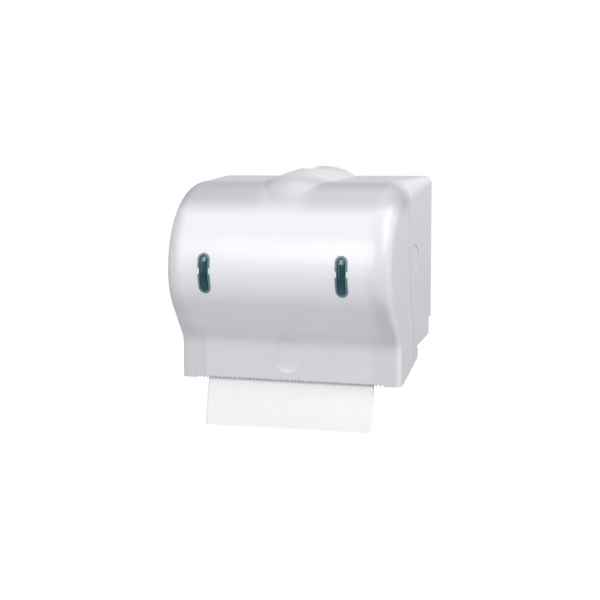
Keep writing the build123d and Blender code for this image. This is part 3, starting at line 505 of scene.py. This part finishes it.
@dataclass(frozen=True)
class BrushedSteel:
    """Bare or plated steel with fine lines along one direction.

    Lines across and along say how closely the lines' noise is packed that way.
    """

    name: str
    along: Axis
    base: Colour = (0.60, 0.60, 0.61)
    stain: Colour = (0.47, 0.47, 0.48)
    roughness: Span = (0.24, 0.40)
    stains: Mottle = Mottle(150.0, 4.0, span=(0.4, 0.75))
    lines: Mottle = Mottle(1.0, 3.0, 0.6)
    lines_across: float = 1600.0
    lines_along: float = 30.0
    line_strength: float = 0.12

    def build(self) -> Material:
        """Make the finish.

        Returns:
            The finished material.
        """
        shader = Shader(self.name)
        scale = [self.lines_across] * 3
        scale[self.along.value] = self.lines_along
        lines = self.lines.raw(shader, shader.stretched(tuple(scale)))
        stains = self.stains.share(shader)
        shader.drive("Base Color", shader.blend_colour(stains, self.base, self.stain))
        shader.drive("Roughness", shader.remap(lines, *self.lines.span, *self.roughness))
        shader.bump(lines, self.line_strength, FINE)
        shader.set(Metallic=1.0)
        return shader.material


@dataclass(frozen=True)
class ZincPlate:
    """Plated screws and stampings, with faint crystals and scuffed spots.

    Crystals are in cells in each metre, and their span is the part of the way to
    a cell's edge over which the dull colour comes in.
    """

    name: str
    base: Colour = (0.62, 0.63, 0.64)
    dull: Colour = (0.42, 0.43, 0.45)
    crystals: float = 700.0
    crystal_span: Span = (0.1, 0.7)
    crystal_strength: float = 0.05
    patches: Mottle = Mottle(300.0)
    roughness: Span = (0.25, 0.45)

    def build(self) -> Material:
        """Make the finish.

        Returns:
            The finished material.
        """
        shader = Shader(self.name)
        crystals = shader.node("TexVoronoi")
        crystals.inputs["Scale"].default_value = self.crystals
        shader.link(shader.place(), crystals.inputs["Vector"])
        distance = crystals.outputs["Distance"]
        share = shader.remap(distance, *self.crystal_span)
        shader.drive("Base Color", shader.blend_colour(share, self.base, self.dull))
        shader.drive("Roughness", self.patches.share(shader, *self.roughness))
        shader.bump(distance, self.crystal_strength, FINE)
        shader.set(Metallic=1.0)
        return shader.material


@dataclass(frozen=True)
class Tissue:
    """Soft absorbent paper: fibres, a shallow crepe and faint clouds.

    Crepe is how closely the fibres are packed along X, Y and Z, and fuzz is the
    pale sheen of loose fibres seen edge on.
    """

    name: str
    base: Colour = (0.92, 0.92, 0.915)
    shade: Colour = (0.895, 0.895, 0.89)
    clouds: Mottle = Mottle(70.0, 5.0, 0.6, span=(0.35, 0.7))
    fibres: Mottle = Mottle(1.0, 4.0, 0.7)
    crepe: Point = (900.0, 1800.0, 1800.0)
    weave: Mottle = Mottle(2600.0, 2.0, 0.6)
    relief: float = 0.16
    roughness: Span = (0.88, 0.97)
    glow: float = 0.15
    glow_reach: Point = (0.002, 0.002, 0.002)
    gloss: float = 0.15
    fuzz: float = 0.15
    fuzz_roughness: float = 0.5

    def build(self) -> Material:
        """Make the finish.

        Returns:
            The finished material.
        """
        shader = Shader(self.name)
        clouds = self.clouds.share(shader)
        shader.drive("Base Color", shader.blend_colour(clouds, self.base, self.shade))
        fibres = self.fibres.raw(shader, shader.stretched(self.crepe))
        shader.bump(shader.maths("ADD", fibres, self.weave.raw(shader)), self.relief, FINE)
        shader.drive("Roughness", shader.remap(clouds, 0.0, 1.0, *self.roughness))
        shader.set(Specular_IOR_Level=self.gloss, Subsurface_Weight=self.glow)
        shader.set(Subsurface_Radius=self.glow_reach)
        shader.set(Sheen_Weight=self.fuzz, Sheen_Roughness=self.fuzz_roughness)
        return shader.material


@dataclass(frozen=True)
class WoundTissue:
    """The roll: tissue on the outside, fine lines of wound paper on the ends.

    Centre is the roll's axis as Y and Z, wobble bends the lines, and end half is
    how far from the middle the outside gives way to the ends.
    """

    name: str
    centre: Span
    lines_per_metre: float = 1100.0
    base: Colour = (0.88, 0.88, 0.875)
    gap: Colour = (0.66, 0.66, 0.65)
    wobble: Mottle = Mottle(90.0)
    wobble_depth: float = 0.0006
    end_half: Span = (0.0930, 0.0945)
    line_strength: float = 0.6
    clouds: Mottle = Mottle(60.0, 4.0, span=(0.35, 0.7))
    cloud_strength: float = 0.25
    fibres: Mottle = Mottle(1800.0, 3.0, 0.7)
    relief: float = 0.3
    roughness: Span = (0.9, 0.97)
    gloss: float = 0.15

    def build(self) -> Material:
        """Make the finish.

        Returns:
            The finished material.
        """
        shader = Shader(self.name)
        dy, dz = shader.off_axis(self.centre)
        square = shader.maths("ADD", shader.product(dy, dy), shader.product(dz, dz))
        radius = shader.maths("SQRT", square)
        wobble = shader.product(self.wobble.raw(shader), self.wobble_depth)
        waves = shader.product(
            shader.maths("ADD", radius, wobble), self.lines_per_metre * 2 * math.pi
        )
        lines = shader.remap(shader.maths("SINE", waves), -1.0, 1.0)
        side = shader.maths("ABSOLUTE", shader.parts()[0])
        on_ends = shader.product(lines, shader.remap(side, *self.end_half))
        clouds = self.clouds.share(shader, 0.0, self.cloud_strength)
        share = shader.maths("MAXIMUM", clouds, shader.product(on_ends, self.line_strength))
        shader.drive("Base Color", shader.blend_colour(share, self.base, self.gap))
        shader.bump(shader.maths("ADD", self.fibres.raw(shader), on_ends), self.relief, COARSE)
        shader.drive("Roughness", shader.remap(clouds, 0.0, self.cloud_strength, *self.roughness))
        shader.set(Specular_IOR_Level=self.gloss)
        return shader.material


@dataclass(frozen=True)
class SpiralBoard:
    """Grey-brown board wound in a long spiral, with a seam between turns.

    Centre is the core's axis as Y and Z, pitch is one turn's advance along it and
    the seam's width is a share of that.
    """

    name: str
    centre: Span
    pitch: float = 0.055
    seam_width: float = 0.02
    base: Colour = (0.40, 0.29, 0.18)
    dark: Colour = (0.27, 0.19, 0.11)
    flecks: Mottle = Mottle(1200.0, 4.0, 0.7, span=(0.45, 0.75))
    fleck_strength: float = 0.6
    relief: float = 0.3
    roughness: Span = (0.8, 0.92)

    def build(self) -> Material:
        """Make the finish.

        Returns:
            The finished material.
        """
        shader = Shader(self.name)
        dy, dz = shader.off_axis(self.centre)
        turn = shader.maths("DIVIDE", shader.maths("ARCTAN2", dz, dy), 2 * math.pi)
        along = shader.maths("DIVIDE", shader.parts()[0], self.pitch)
        step = shader.maths("FRACT", shader.maths("ADD", along, turn))
        seam = shader.remap(step, 0.0, self.seam_width, 1.0, 0.0)
        fleck = self.flecks.share(shader)
        share = shader.maths("MAXIMUM", seam, shader.product(fleck, self.fleck_strength))
        shader.drive("Base Color", shader.blend_colour(share, self.base, self.dark))
        shader.drive("Roughness", shader.remap(fleck, 0.0, 1.0, *self.roughness))
        shader.bump(shader.maths("SUBTRACT", fleck, seam), self.relief, COARSE)
        return shader.material


def dress(nodes: Nodes, names: Sequence[str], material: Material) -> None:
    """Give CAD nodes a material in their own slots.

    Args:
        nodes: The frame's nodes by name.
        names: Nodes to dress.
        material: What they get.
    """
    for name in names:
        node = nodes[name]
        if not node.material_slots:
            node.data.materials.append(material)
        for slot in node.material_slots:
            slot.material = material
        LOG.info("dressed %s with %s", name, material.name)


def mesh_object(
    name: str, points: np.ndarray, faces: Sequence[Sequence[int]], material: Material
) -> bpy.types.Object:
    """Make a smooth-shaded mesh piece.

    Args:
        name: The piece's name.
        points: Its vertices, in metres.
        faces: Its faces, as vertex numbers.
        material: Its material.

    Returns:
        The new object, linked to the scene.
    """
    mesh = bpy.data.meshes.new(name)
    mesh.from_pydata([tuple(map(float, p)) for p in points], [], [tuple(f) for f in faces])
    mesh.materials.append(material)
    mesh.shade_smooth()
    made = bpy.data.objects.new(name, mesh)
    bpy.context.scene.collection.objects.link(made)
    return made


@dataclass
class Shell:
    """Housing, cover and the small white pieces that close them."""

    # the cover's material holds painted shade on its skirt and border
    cover_finish: PaintedShadeCoverPlastic = PaintedShadeCoverPlastic("cover_pearl_painted_shade")
    housing_finish: PearlPlastic = PearlPlastic("housing_pearl")
    small_finish: PearlPlastic = PearlPlastic("small_white", coat=0.1)

    def build(self, nodes: Nodes) -> None:
        """Dress the shell's nodes.

        Args:
            nodes: The frame's nodes by name.
        """
        dress(nodes, ["front_cover"], self.cover_finish.build())
        dress(nodes, ["back_housing"], self.housing_finish.build())
        pairs = ("side_cap", "hinge_pin", "guide_arm")
        small = [f"{piece}_{side}" for piece in pairs for side in ("left", "right")]
        dress(nodes, small, self.small_finish.build())


@dataclass
class LevelWindows:
    """The two teal windows that show how much paper is left."""

    rim_finish: MouldedPlastic = MouldedPlastic(
        "teal_rim", base=(0.115, 0.225, 0.235), dark=(0.085, 0.180, 0.190), roughness=(0.26, 0.36)
    )
    lens_finish: TintedLens = TintedLens("teal_lens")
    clip_finish: MouldedPlastic = MouldedPlastic(
        "window_clip_grey", base=(0.33, 0.34, 0.35), dark=(0.27, 0.28, 0.29)
    )

    def build(self, nodes: Nodes) -> None:
        """Dress both windows' rims, lenses and clips.

        Args:
            nodes: The frame's nodes by name.
        """
        finishes = {"bezel": self.rim_finish, "lens": self.lens_finish, "clip": self.clip_finish}
        for piece, finish in finishes.items():
            names = [f"window_{piece}_{side}" for side in ("left", "right")]
            dress(nodes, names, finish.build())


@dataclass
class Works:
    """Roll holders, guide bar, lock and fasteners inside the housing.

    Hub travel, how far the sprung hub would be pushed out, is not used.
    """

    hub_finish: MouldedPlastic = MouldedPlastic(
        "hub_grey", base=(0.35, 0.36, 0.37), dark=(0.28, 0.29, 0.30)
    )
    bar_finish: BrushedSteel = BrushedSteel("bar_steel", Axis.X)
    wire_finish: BrushedSteel = BrushedSteel(
        "spring_wire", Axis.Z, base=(0.45, 0.45, 0.46), stain=(0.33, 0.33, 0.34)
    )
    screw_finish: ZincPlate = ZincPlate("zinc_plate")
    lock_finish: BrushedSteel = BrushedSteel(
        "lock_chrome", Axis.Y,
        base=(0.66, 0.66, 0.67), stain=(0.56, 0.56, 0.57), roughness=(0.28, 0.38),
    )
    barrel_finish: BrushedSteel = BrushedSteel(
        "lock_nickel", Axis.Y, base=(0.62, 0.60, 0.55), stain=(0.45, 0.43, 0.40)
    )
    hub_travel: float = 0.010

    def build(self, nodes: Nodes) -> None:
        """Dress the working pieces.

        Args:
            nodes: The frame's nodes by name.
        """
        dress(nodes, ["fixed_hub", "hub_post", "sprung_hub"], self.hub_finish.build())
        dress(nodes, ["guide_bar"], self.bar_finish.build())
        dress(nodes, ["hub_spring", "guide_bar_clips"], self.wire_finish.build())
        plated = ["hub_screws", "guide_arm_screws", "lock_nut", "lock_cam", "cam_screw"]
        dress(nodes, plated + ["cover_catch", "catch_screws"], self.screw_finish.build())
        dress(nodes, ["lock_body"], self.lock_finish.build())
        dress(nodes, ["lock_barrel"], self.barrel_finish.build())
        self.spring(nodes["hub_spring"])

    def spring(self, spring: bpy.types.Object) -> None:
        """Give the hub's spring a mesh of its own.

        Args:
            spring: The spring, whose outer end stays where it is.
        """
        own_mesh(spring)


@dataclass
class PaperRoll:
    """The wound paper, with its turns standing unevenly at the ends.

    Rings run over each end, each up to a ring step behind it, and side rings over
    the outside. Each shoulder is a point of the roll's rounded end edge, as how
    far it lies in from the end and in from the outside. Tail step is the step
    down at the loose end.
    """

    rings: int = 46
    segments: int = 160
    side_rings: int = 24
    side_share: float = 0.98
    ring_step: float = 0.00022
    last_ring_in: float = 0.0006
    shoulders: Tuple[Span, ...] = ((0.0003, 0.0002), (0.0010, 0.0))
    tail_step: float = 0.0004
    core_gap: float = 0.0001
    seed: int = 5

    def build(self, nodes: Nodes) -> bpy.types.Object:
        """Make the roll in place of its plain solid and dress its core.

        Args:
            nodes: The frame's nodes by name.

        Returns:
            The roll.
        """
        low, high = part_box("paper_roll")
        core_low, core_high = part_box("roll_core")
        centre = ((low.y + high.y) / 2, (low.z + high.z) / 2)
        outer = (high.z - low.z) / 2
        inner = (core_high.z - core_low.z) / 2 + self.core_gap
        finish = WoundTissue("wound_tissue", centre).build()
        points = self.lathe(centre, self.outline(inner, outer, high.x), outer)
        roll = mesh_object("wound_paper", points, self.faces(len(points)), finish)
        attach(roll, "roll")
        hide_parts("paper_roll")
        dress(nodes, ["roll_core"], SpiralBoard("core_board", centre).build())
        wide = (2 * outer * MILLIMETRES, 2 * inner * MILLIMETRES)
        LOG.info("roll of %.0f mm on a core of %.0f mm", *wide)
        return roll

    def outline(self, inner: float, outer: float, half: float) -> List[Span]:
        """Draw the closed outline that is turned into the roll.

        Args:
            inner: Radius of the core's hole.
            outer: Radius of the roll.
            half: Half the roll's length.

        Returns:
            Places along the axis, each with its radius.
        """
        rng = np.random.default_rng(self.seed)
        radii = np.linspace(inner, outer - self.last_ring_in, self.rings)
        steps = rng.uniform(0.0, self.ring_step, self.rings)
        found = [(half - s, r) for r, s in zip(radii, steps)]
        found += [(half - back, outer - down) for back, down in self.shoulders]
        along = np.linspace(self.side_share, -self.side_share, self.side_rings)
        found += [(half * t, outer) for t in along]
        found += [(-half + back, outer - down) for back, down in reversed(self.shoulders)]
        found += [(-half + s, r) for r, s in zip(radii[::-1], steps[::-1])]
        return found

    def lathe(self, centre: Span, outline: Sequence[Span], outer: float) -> np.ndarray:
        """Turn the outline about the axis, with a small step at the loose end.

        Args:
            centre: The axis, as Y and Z.
            outline: Places along the axis, each with its radius.
            outer: Radius of the roll.

        Returns:
            The roll's vertices, ring by ring.
        """
        turn = np.linspace(0, 2 * math.pi, self.segments, endpoint=False)
        points = []
        for x, r in outline:
            loose = self.tail_step * (turn / (2 * math.pi)) if r > outer - HAIR else 0 * turn
            for q, a in zip(r - loose, turn):
                points.append((x, centre[0] + q * math.cos(a), centre[1] + q * math.sin(a)))
        return np.array(points)

    def faces(self, count: int) -> List[Tuple[int, ...]]:
        """List the faces between the rings, the last ring joined to the first.

        Args:
            count: Number of vertices.

        Returns:
            Faces, as vertex numbers.
        """
        found = []
        for start in range(0, count, self.segments):
            ahead = (start + self.segments) % count
            for k in range(self.segments):
                beside = (k + 1) % self.segments
                found.append((start + k, start + beside, ahead + beside, ahead + k))
        return found


@dataclass(frozen=True)
class Ripple:
    """One wave across the hanging towel.

    Height is in metres at the free edge, and grows to it with the given power.
    Count and start are in radians over half the towel's width, and drift is how
    far the wave moves sideways on its way down.
    """

    height: float
    count: float
    start: float
    drift: float = 0.0
    power: int = 1

    def at(self, across: np.ndarray, free: float) -> np.ndarray:
        """Return the wave's height.

        Args:
            across: Places from one edge to the other, -1 to 1.
            free: How freely the towel hangs there, 0 to 1.

        Returns:
            Heights in metres.
        """
        turn = self.count * across + self.start + self.drift * free
        return self.height * free**self.power * np.sin(turn)


@dataclass
class TowelSheet:
    """One sheet of towel from the roll, round the guide bar and out below the teeth.

    Below the bar it first drops straight, by the bend's drop, and then curves to its free edge;
    the bend's pull and the edge's lead shape that curve. Edge curl is how far its corners turn
    back. Free from is the share of its length where it starts to ripple. Bends between, the
    shares of its rows where it would start and stop bending with the cover, is not used.
    """

    thickness: float = 0.00025
    clearance: float = 0.00045
    columns: int = 76
    lead_rows: int = 26
    wrap_rows: int = 6
    drop_rows: int = 14
    tail_rows: int = 40
    bend_drop: float = 0.034
    bend_pull: float = 0.022
    edge_lead: Span = (0.003, 0.030)
    edge_back: float = 0.0016
    edge_curl: float = 0.0012
    free_from: float = 0.72
    ripples: Tuple[Ripple, ...] = (
        Ripple(0.00056, count=2.1, start=0.6),
        Ripple(0.00035, count=5.3, start=-0.9, drift=2.2, power=2),
    )
    fringe: float = 0.00035
    lower_edge: LowerEdge = LowerEdge.TORN
    bends_between: Span = (0.48, 0.74)
    finish: Tissue = Tissue("towel_tissue")
    seed: int = 11

    def centre_line(self) -> np.ndarray:
        """Work out the sheet's path in the Y-Z plane.

        Returns:
            Points from the roll to the free lower edge.
        """
        roll_low, roll_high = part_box("paper_roll")
        bar_low, bar_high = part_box("guide_bar")
        tail_low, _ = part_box("towel_sheet")
        roll = np.array([(roll_low.y + roll_high.y) / 2, (roll_low.z + roll_high.z) / 2])
        bar = np.array([(bar_low.y + bar_high.y) / 2, (bar_low.z + bar_high.z) / 2])
        roll_r = (roll_high.z - roll_low.z) / 2 + self.clearance
        bar_r = (bar_high.z - bar_low.z) / 2 + self.clearance
        reach = bar - roll
        span = float(np.hypot(*reach))
        angle = math.atan2(reach[1], reach[0]) - math.acos((roll_r - bar_r) / span)
        normal = np.array([math.cos(angle), math.sin(angle)])
        start = roll + roll_r * normal
        touch = bar + bar_r * normal
        path = [start + (touch - start) * t for t in np.linspace(0, 1, self.lead_rows)]
        last = math.atan2(normal[1], normal[0]) % (2 * math.pi)
        wrap = np.linspace(last, math.pi, self.wrap_rows)[1:]
        path += [bar + bar_r * np.array([math.cos(a), math.sin(a)]) for a in wrap]
        below = path[-1]
        bend = below - np.array([0, self.bend_drop])
        path += [below + (bend - below) * t for t in np.linspace(0, 1, self.drop_rows)[1:]]
        end = np.array([tail_low.y + self.edge_back, tail_low.z])
        pull = bend - np.array([0, self.bend_pull])
        lead = end + np.array(self.edge_lead)
        for t in np.linspace(0, 1, self.tail_rows)[1:]:
            s = 1 - t
            path.append(s**3 * bend + 3 * s**2 * t * pull + 3 * s * t**2 * lead + t**3 * end)
        return np.array(path)

    def build(self) -> bpy.types.Object:
        """Make the sheet, log its size and hide the plain sheet.

        Returns:
            The sheet.
        """
        low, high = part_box("towel_sheet")
        half = (high.x - low.x) / 2
        path = self.centre_line()
        along = np.cumsum(np.r_[0, np.hypot(*np.diff(path, axis=0).T)])
        length = float(along[-1])
        points = self.surface(path, along / length, half)
        sheet = mesh_object("towel", points, self.faces(len(path)), self.finish.build())
        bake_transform(sheet)
        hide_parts("towel_sheet")
        LOG.info("towel sheet %.1f x %.1f mm", 2 * half * MILLIMETRES, length * MILLIMETRES)
        return sheet

    def surface(self, path: np.ndarray, reach: np.ndarray, half: float) -> np.ndarray:
        """Place both sides of the sheet, with its curl, ripples and lower edge.

        Args:
            path: The sheet's middle, from the roll to the free edge.
            reach: How far along the sheet each point lies, 0 to 1.
            half: Half the sheet's width.

        Returns:
            Vertices of the front, then of the back, row by row.
        """
        across = np.linspace(-half, half, self.columns + 1)
        share = across / half
        step = np.gradient(path, axis=0)
        step /= np.hypot(*step.T)[:, None]
        normals = np.stack([-step[:, 1], step[:, 0]], axis=1)
        hangs = np.clip((reach - self.free_from) / (1 - self.free_from), 0, 1)
        torn = self.lower_edge is LowerEdge.TORN
        rng = np.random.default_rng(self.seed)
        ragged = rng.uniform(0, self.fringe, self.columns + 1) if torn else 0 * across
        rows = []
        for side in (0.5, -0.5):
            for row, (centre, normal, free) in enumerate(zip(path, normals, hangs)):
                shift = side * self.thickness + self.edge_curl * free**2 * share**4
                shift = shift + sum(ripple.at(share, free) for ripple in self.ripples)
                y = centre[0] + normal[0] * shift
                z = centre[1] + normal[1] * shift + (ragged if row == len(path) - 1 else 0.0)
                rows.append(np.stack([across, y, z], axis=1))
        return np.concatenate(rows)

    @staticmethod
    def at(path: np.ndarray, share: float) -> Point:
        """Return the path's point at a share of its count."""
        y, z = path[int(share * (len(path) - 1))]
        return (0.0, float(y), float(z))

    def faces(self, rows: int) -> List[Tuple[int, ...]]:
        """List the faces of both sides and the four edges.

        Args:
            rows: Points along the sheet.

        Returns:
            Faces, as vertex numbers.
        """
        wide = self.columns + 1
        back = rows * wide
        found = []
        for i in range(rows - 1):
            for k in range(self.columns):
                a, b = i * wide + k, i * wide + k + 1
                c, d = (i + 1) * wide + k + 1, (i + 1) * wide + k
                found.append((a, b, c, d))
                found.append((back + d, back + c, back + b, back + a))
            for k, order in ((0, 1), (self.columns, -1)):
                a, d = i * wide + k, (i + 1) * wide + k
                found.append((a, d, back + d, back + a)[::order])
        for row, order in ((0, 1), (rows - 1, -1)):
            for k in range(self.columns):
                a, b = row * wide + k, row * wide + k + 1
                found.append((a, b, back + b, back + a)[::order])
        return found


@dataclass(frozen=True)
class Lamp:
    """One rectangular softbox that looks at the dispenser.

    Azimuth is in degrees to the right of straight in front, elevation in
    degrees above level, distance and size in metres and power in watts.
    """

    name: str
    azimuth: float
    elevation: float
    distance: float
    size: Span
    power: float
    target: Point = (0.0, -0.08, -0.02)

    def hang(self) -> None:
        """Put the lamp in the scene."""
        data = bpy.data.lights.new(self.name, "AREA")
        data.shape = "RECTANGLE"
        data.size, data.size_y = self.size
        data.energy = self.power
        lamp = bpy.data.objects.new(self.name, data)
        turn, lift = math.radians(self.azimuth), math.radians(self.elevation)
        level = math.cos(lift)
        away = Vector((math.sin(turn) * level, -math.cos(turn) * level, math.sin(lift)))
        lamp.location = Vector(self.target) + away * self.distance
        lamp.rotation_euler = away.to_track_quat("Z", "Y").to_euler()
        bpy.context.scene.collection.objects.link(lamp)


@dataclass
class Studio:
    """Floor, light and the camera at the photograph's angle.

    Yaw and pitch are in degrees to the left and down, and the focal length is in
    pixels of a picture that is frame_pixels wide.
    """

    eye: Point = (0.592, -1.645, 0.093)
    yaw: float = 20.7
    pitch: float = 5.09
    focal_pixels: float = 1546.0
    frame_pixels: float = 600.0
    sensor: float = 36.0
    sight: float = 50.0
    floor_half: float = 12.0
    floor_drop: float = 0.75
    floor_colours: Tuple[Colour, Colour] = ((0.47, 0.47, 0.48), (0.45, 0.45, 0.46))
    floor_patches: Mottle = Mottle(2.0, 4.0)
    floor_roughness: float = 0.9
    floor_glow: float = 0.84
    world_fill: float = 0.36
    lamps: Tuple[Lamp, ...] = (
        Lamp("key", azimuth=-4.0, elevation=20.0, distance=1.7, size=(1.4, 0.8), power=17.4),
        Lamp("top", azimuth=180.0, elevation=76.0, distance=1.6, size=(1.2, 0.8), power=4.4),
        Lamp("right", azimuth=84.0, elevation=32.0, distance=1.7, size=(0.9, 1.1), power=18.5),
        Lamp("strip", azimuth=-44.0, elevation=16.0, distance=1.7, size=(0.12, 1.5), power=3.0),
    )

    def build(self) -> None:
        """Make the whole stage."""
        self.camera()
        self.floor()
        self.world()
        for lamp in self.lamps:
            lamp.hang()
        bpy.context.scene.view_settings.view_transform = "Standard"

    def camera(self) -> None:
        """Stand the camera where the photograph was taken from."""
        data = bpy.data.cameras.new("camera")
        data.sensor_width = self.sensor
        data.lens = self.focal_pixels / self.frame_pixels * self.sensor
        data.clip_end = self.sight
        camera = bpy.data.objects.new("camera", data)
        camera.location = self.eye
        turn, tip = math.radians(self.yaw), math.radians(self.pitch)
        level = math.cos(tip)
        view = Vector((-math.sin(turn) * level, math.cos(turn) * level, -math.sin(tip)))
        camera.rotation_euler = view.to_track_quat("-Z", "Y").to_euler()
        bpy.context.scene.collection.objects.link(camera)
        bpy.context.scene.camera = camera

    def floor(self) -> None:
        """Lay a pale floor well below the dispenser."""
        shader = Shader("pale_floor")
        patches = self.floor_patches.share(shader)
        shader.drive("Base Color", shader.blend_colour(patches, *self.floor_colours))
        shader.set(Roughness=self.floor_roughness)
        ray = shader.node("LightPath").outputs["Is Camera Ray"]
        glow = shader.node("Emission")
        glow.inputs["Color"].default_value = WHITE
        shader.link(shader.product(ray, self.floor_glow), glow.inputs["Strength"])
        both = shader.node("AddShader")
        shader.link(shader.surface.outputs["BSDF"], both.inputs[0])
        shader.link(glow.outputs["Emission"], both.inputs[1])
        shader.link(both.outputs["Shader"], shader.output.inputs["Surface"])
        corners = [(-1, -1), (1, -1), (1, 1), (-1, 1)]
        reach = self.floor_half
        points = np.array([(x * reach, y * reach, -self.floor_drop) for x, y in corners])
        mesh_object("floor", points, [(0, 1, 2, 3)], shader.material)

    def world(self) -> None:
        """Fill with soft even light, with white behind the dispenser."""
        world = bpy.data.worlds.new("studio")
        world.use_nodes = True
        tree = world.node_tree
        tree.nodes.clear()
        output = tree.nodes.new("ShaderNodeOutputWorld")
        background = tree.nodes.new("ShaderNodeBackground")
        background.inputs["Color"].default_value = WHITE
        path = tree.nodes.new("ShaderNodeLightPath")
        strength = tree.nodes.new("ShaderNodeMapRange")
        strength.inputs["To Min"].default_value = self.world_fill
        strength.inputs["To Max"].default_value = 1.0
        tree.links.new(path.outputs["Is Camera Ray"], strength.inputs["Value"])
        tree.links.new(strength.outputs["Result"], background.inputs["Strength"])
        tree.links.new(background.outputs["Background"], output.inputs["Surface"])
        bpy.context.scene.world = world


def main() -> None:
    """Load the frame, build every sub-assembly in order and report each."""
    logging.basicConfig(level=logging.INFO, format="%(name)s: %(message)s")
    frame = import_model()
    nodes = frame["nodes"]
    for assembly in (Shell(), LevelWindows(), Works(), PaperRoll()):
        assembly.build(nodes)
        LOG.info("built %s", type(assembly).__name__)
    for assembly in (TowelSheet(), Studio()):
        assembly.build()
        LOG.info("built %s", type(assembly).__name__)


if __name__ == "__main__":
    main()
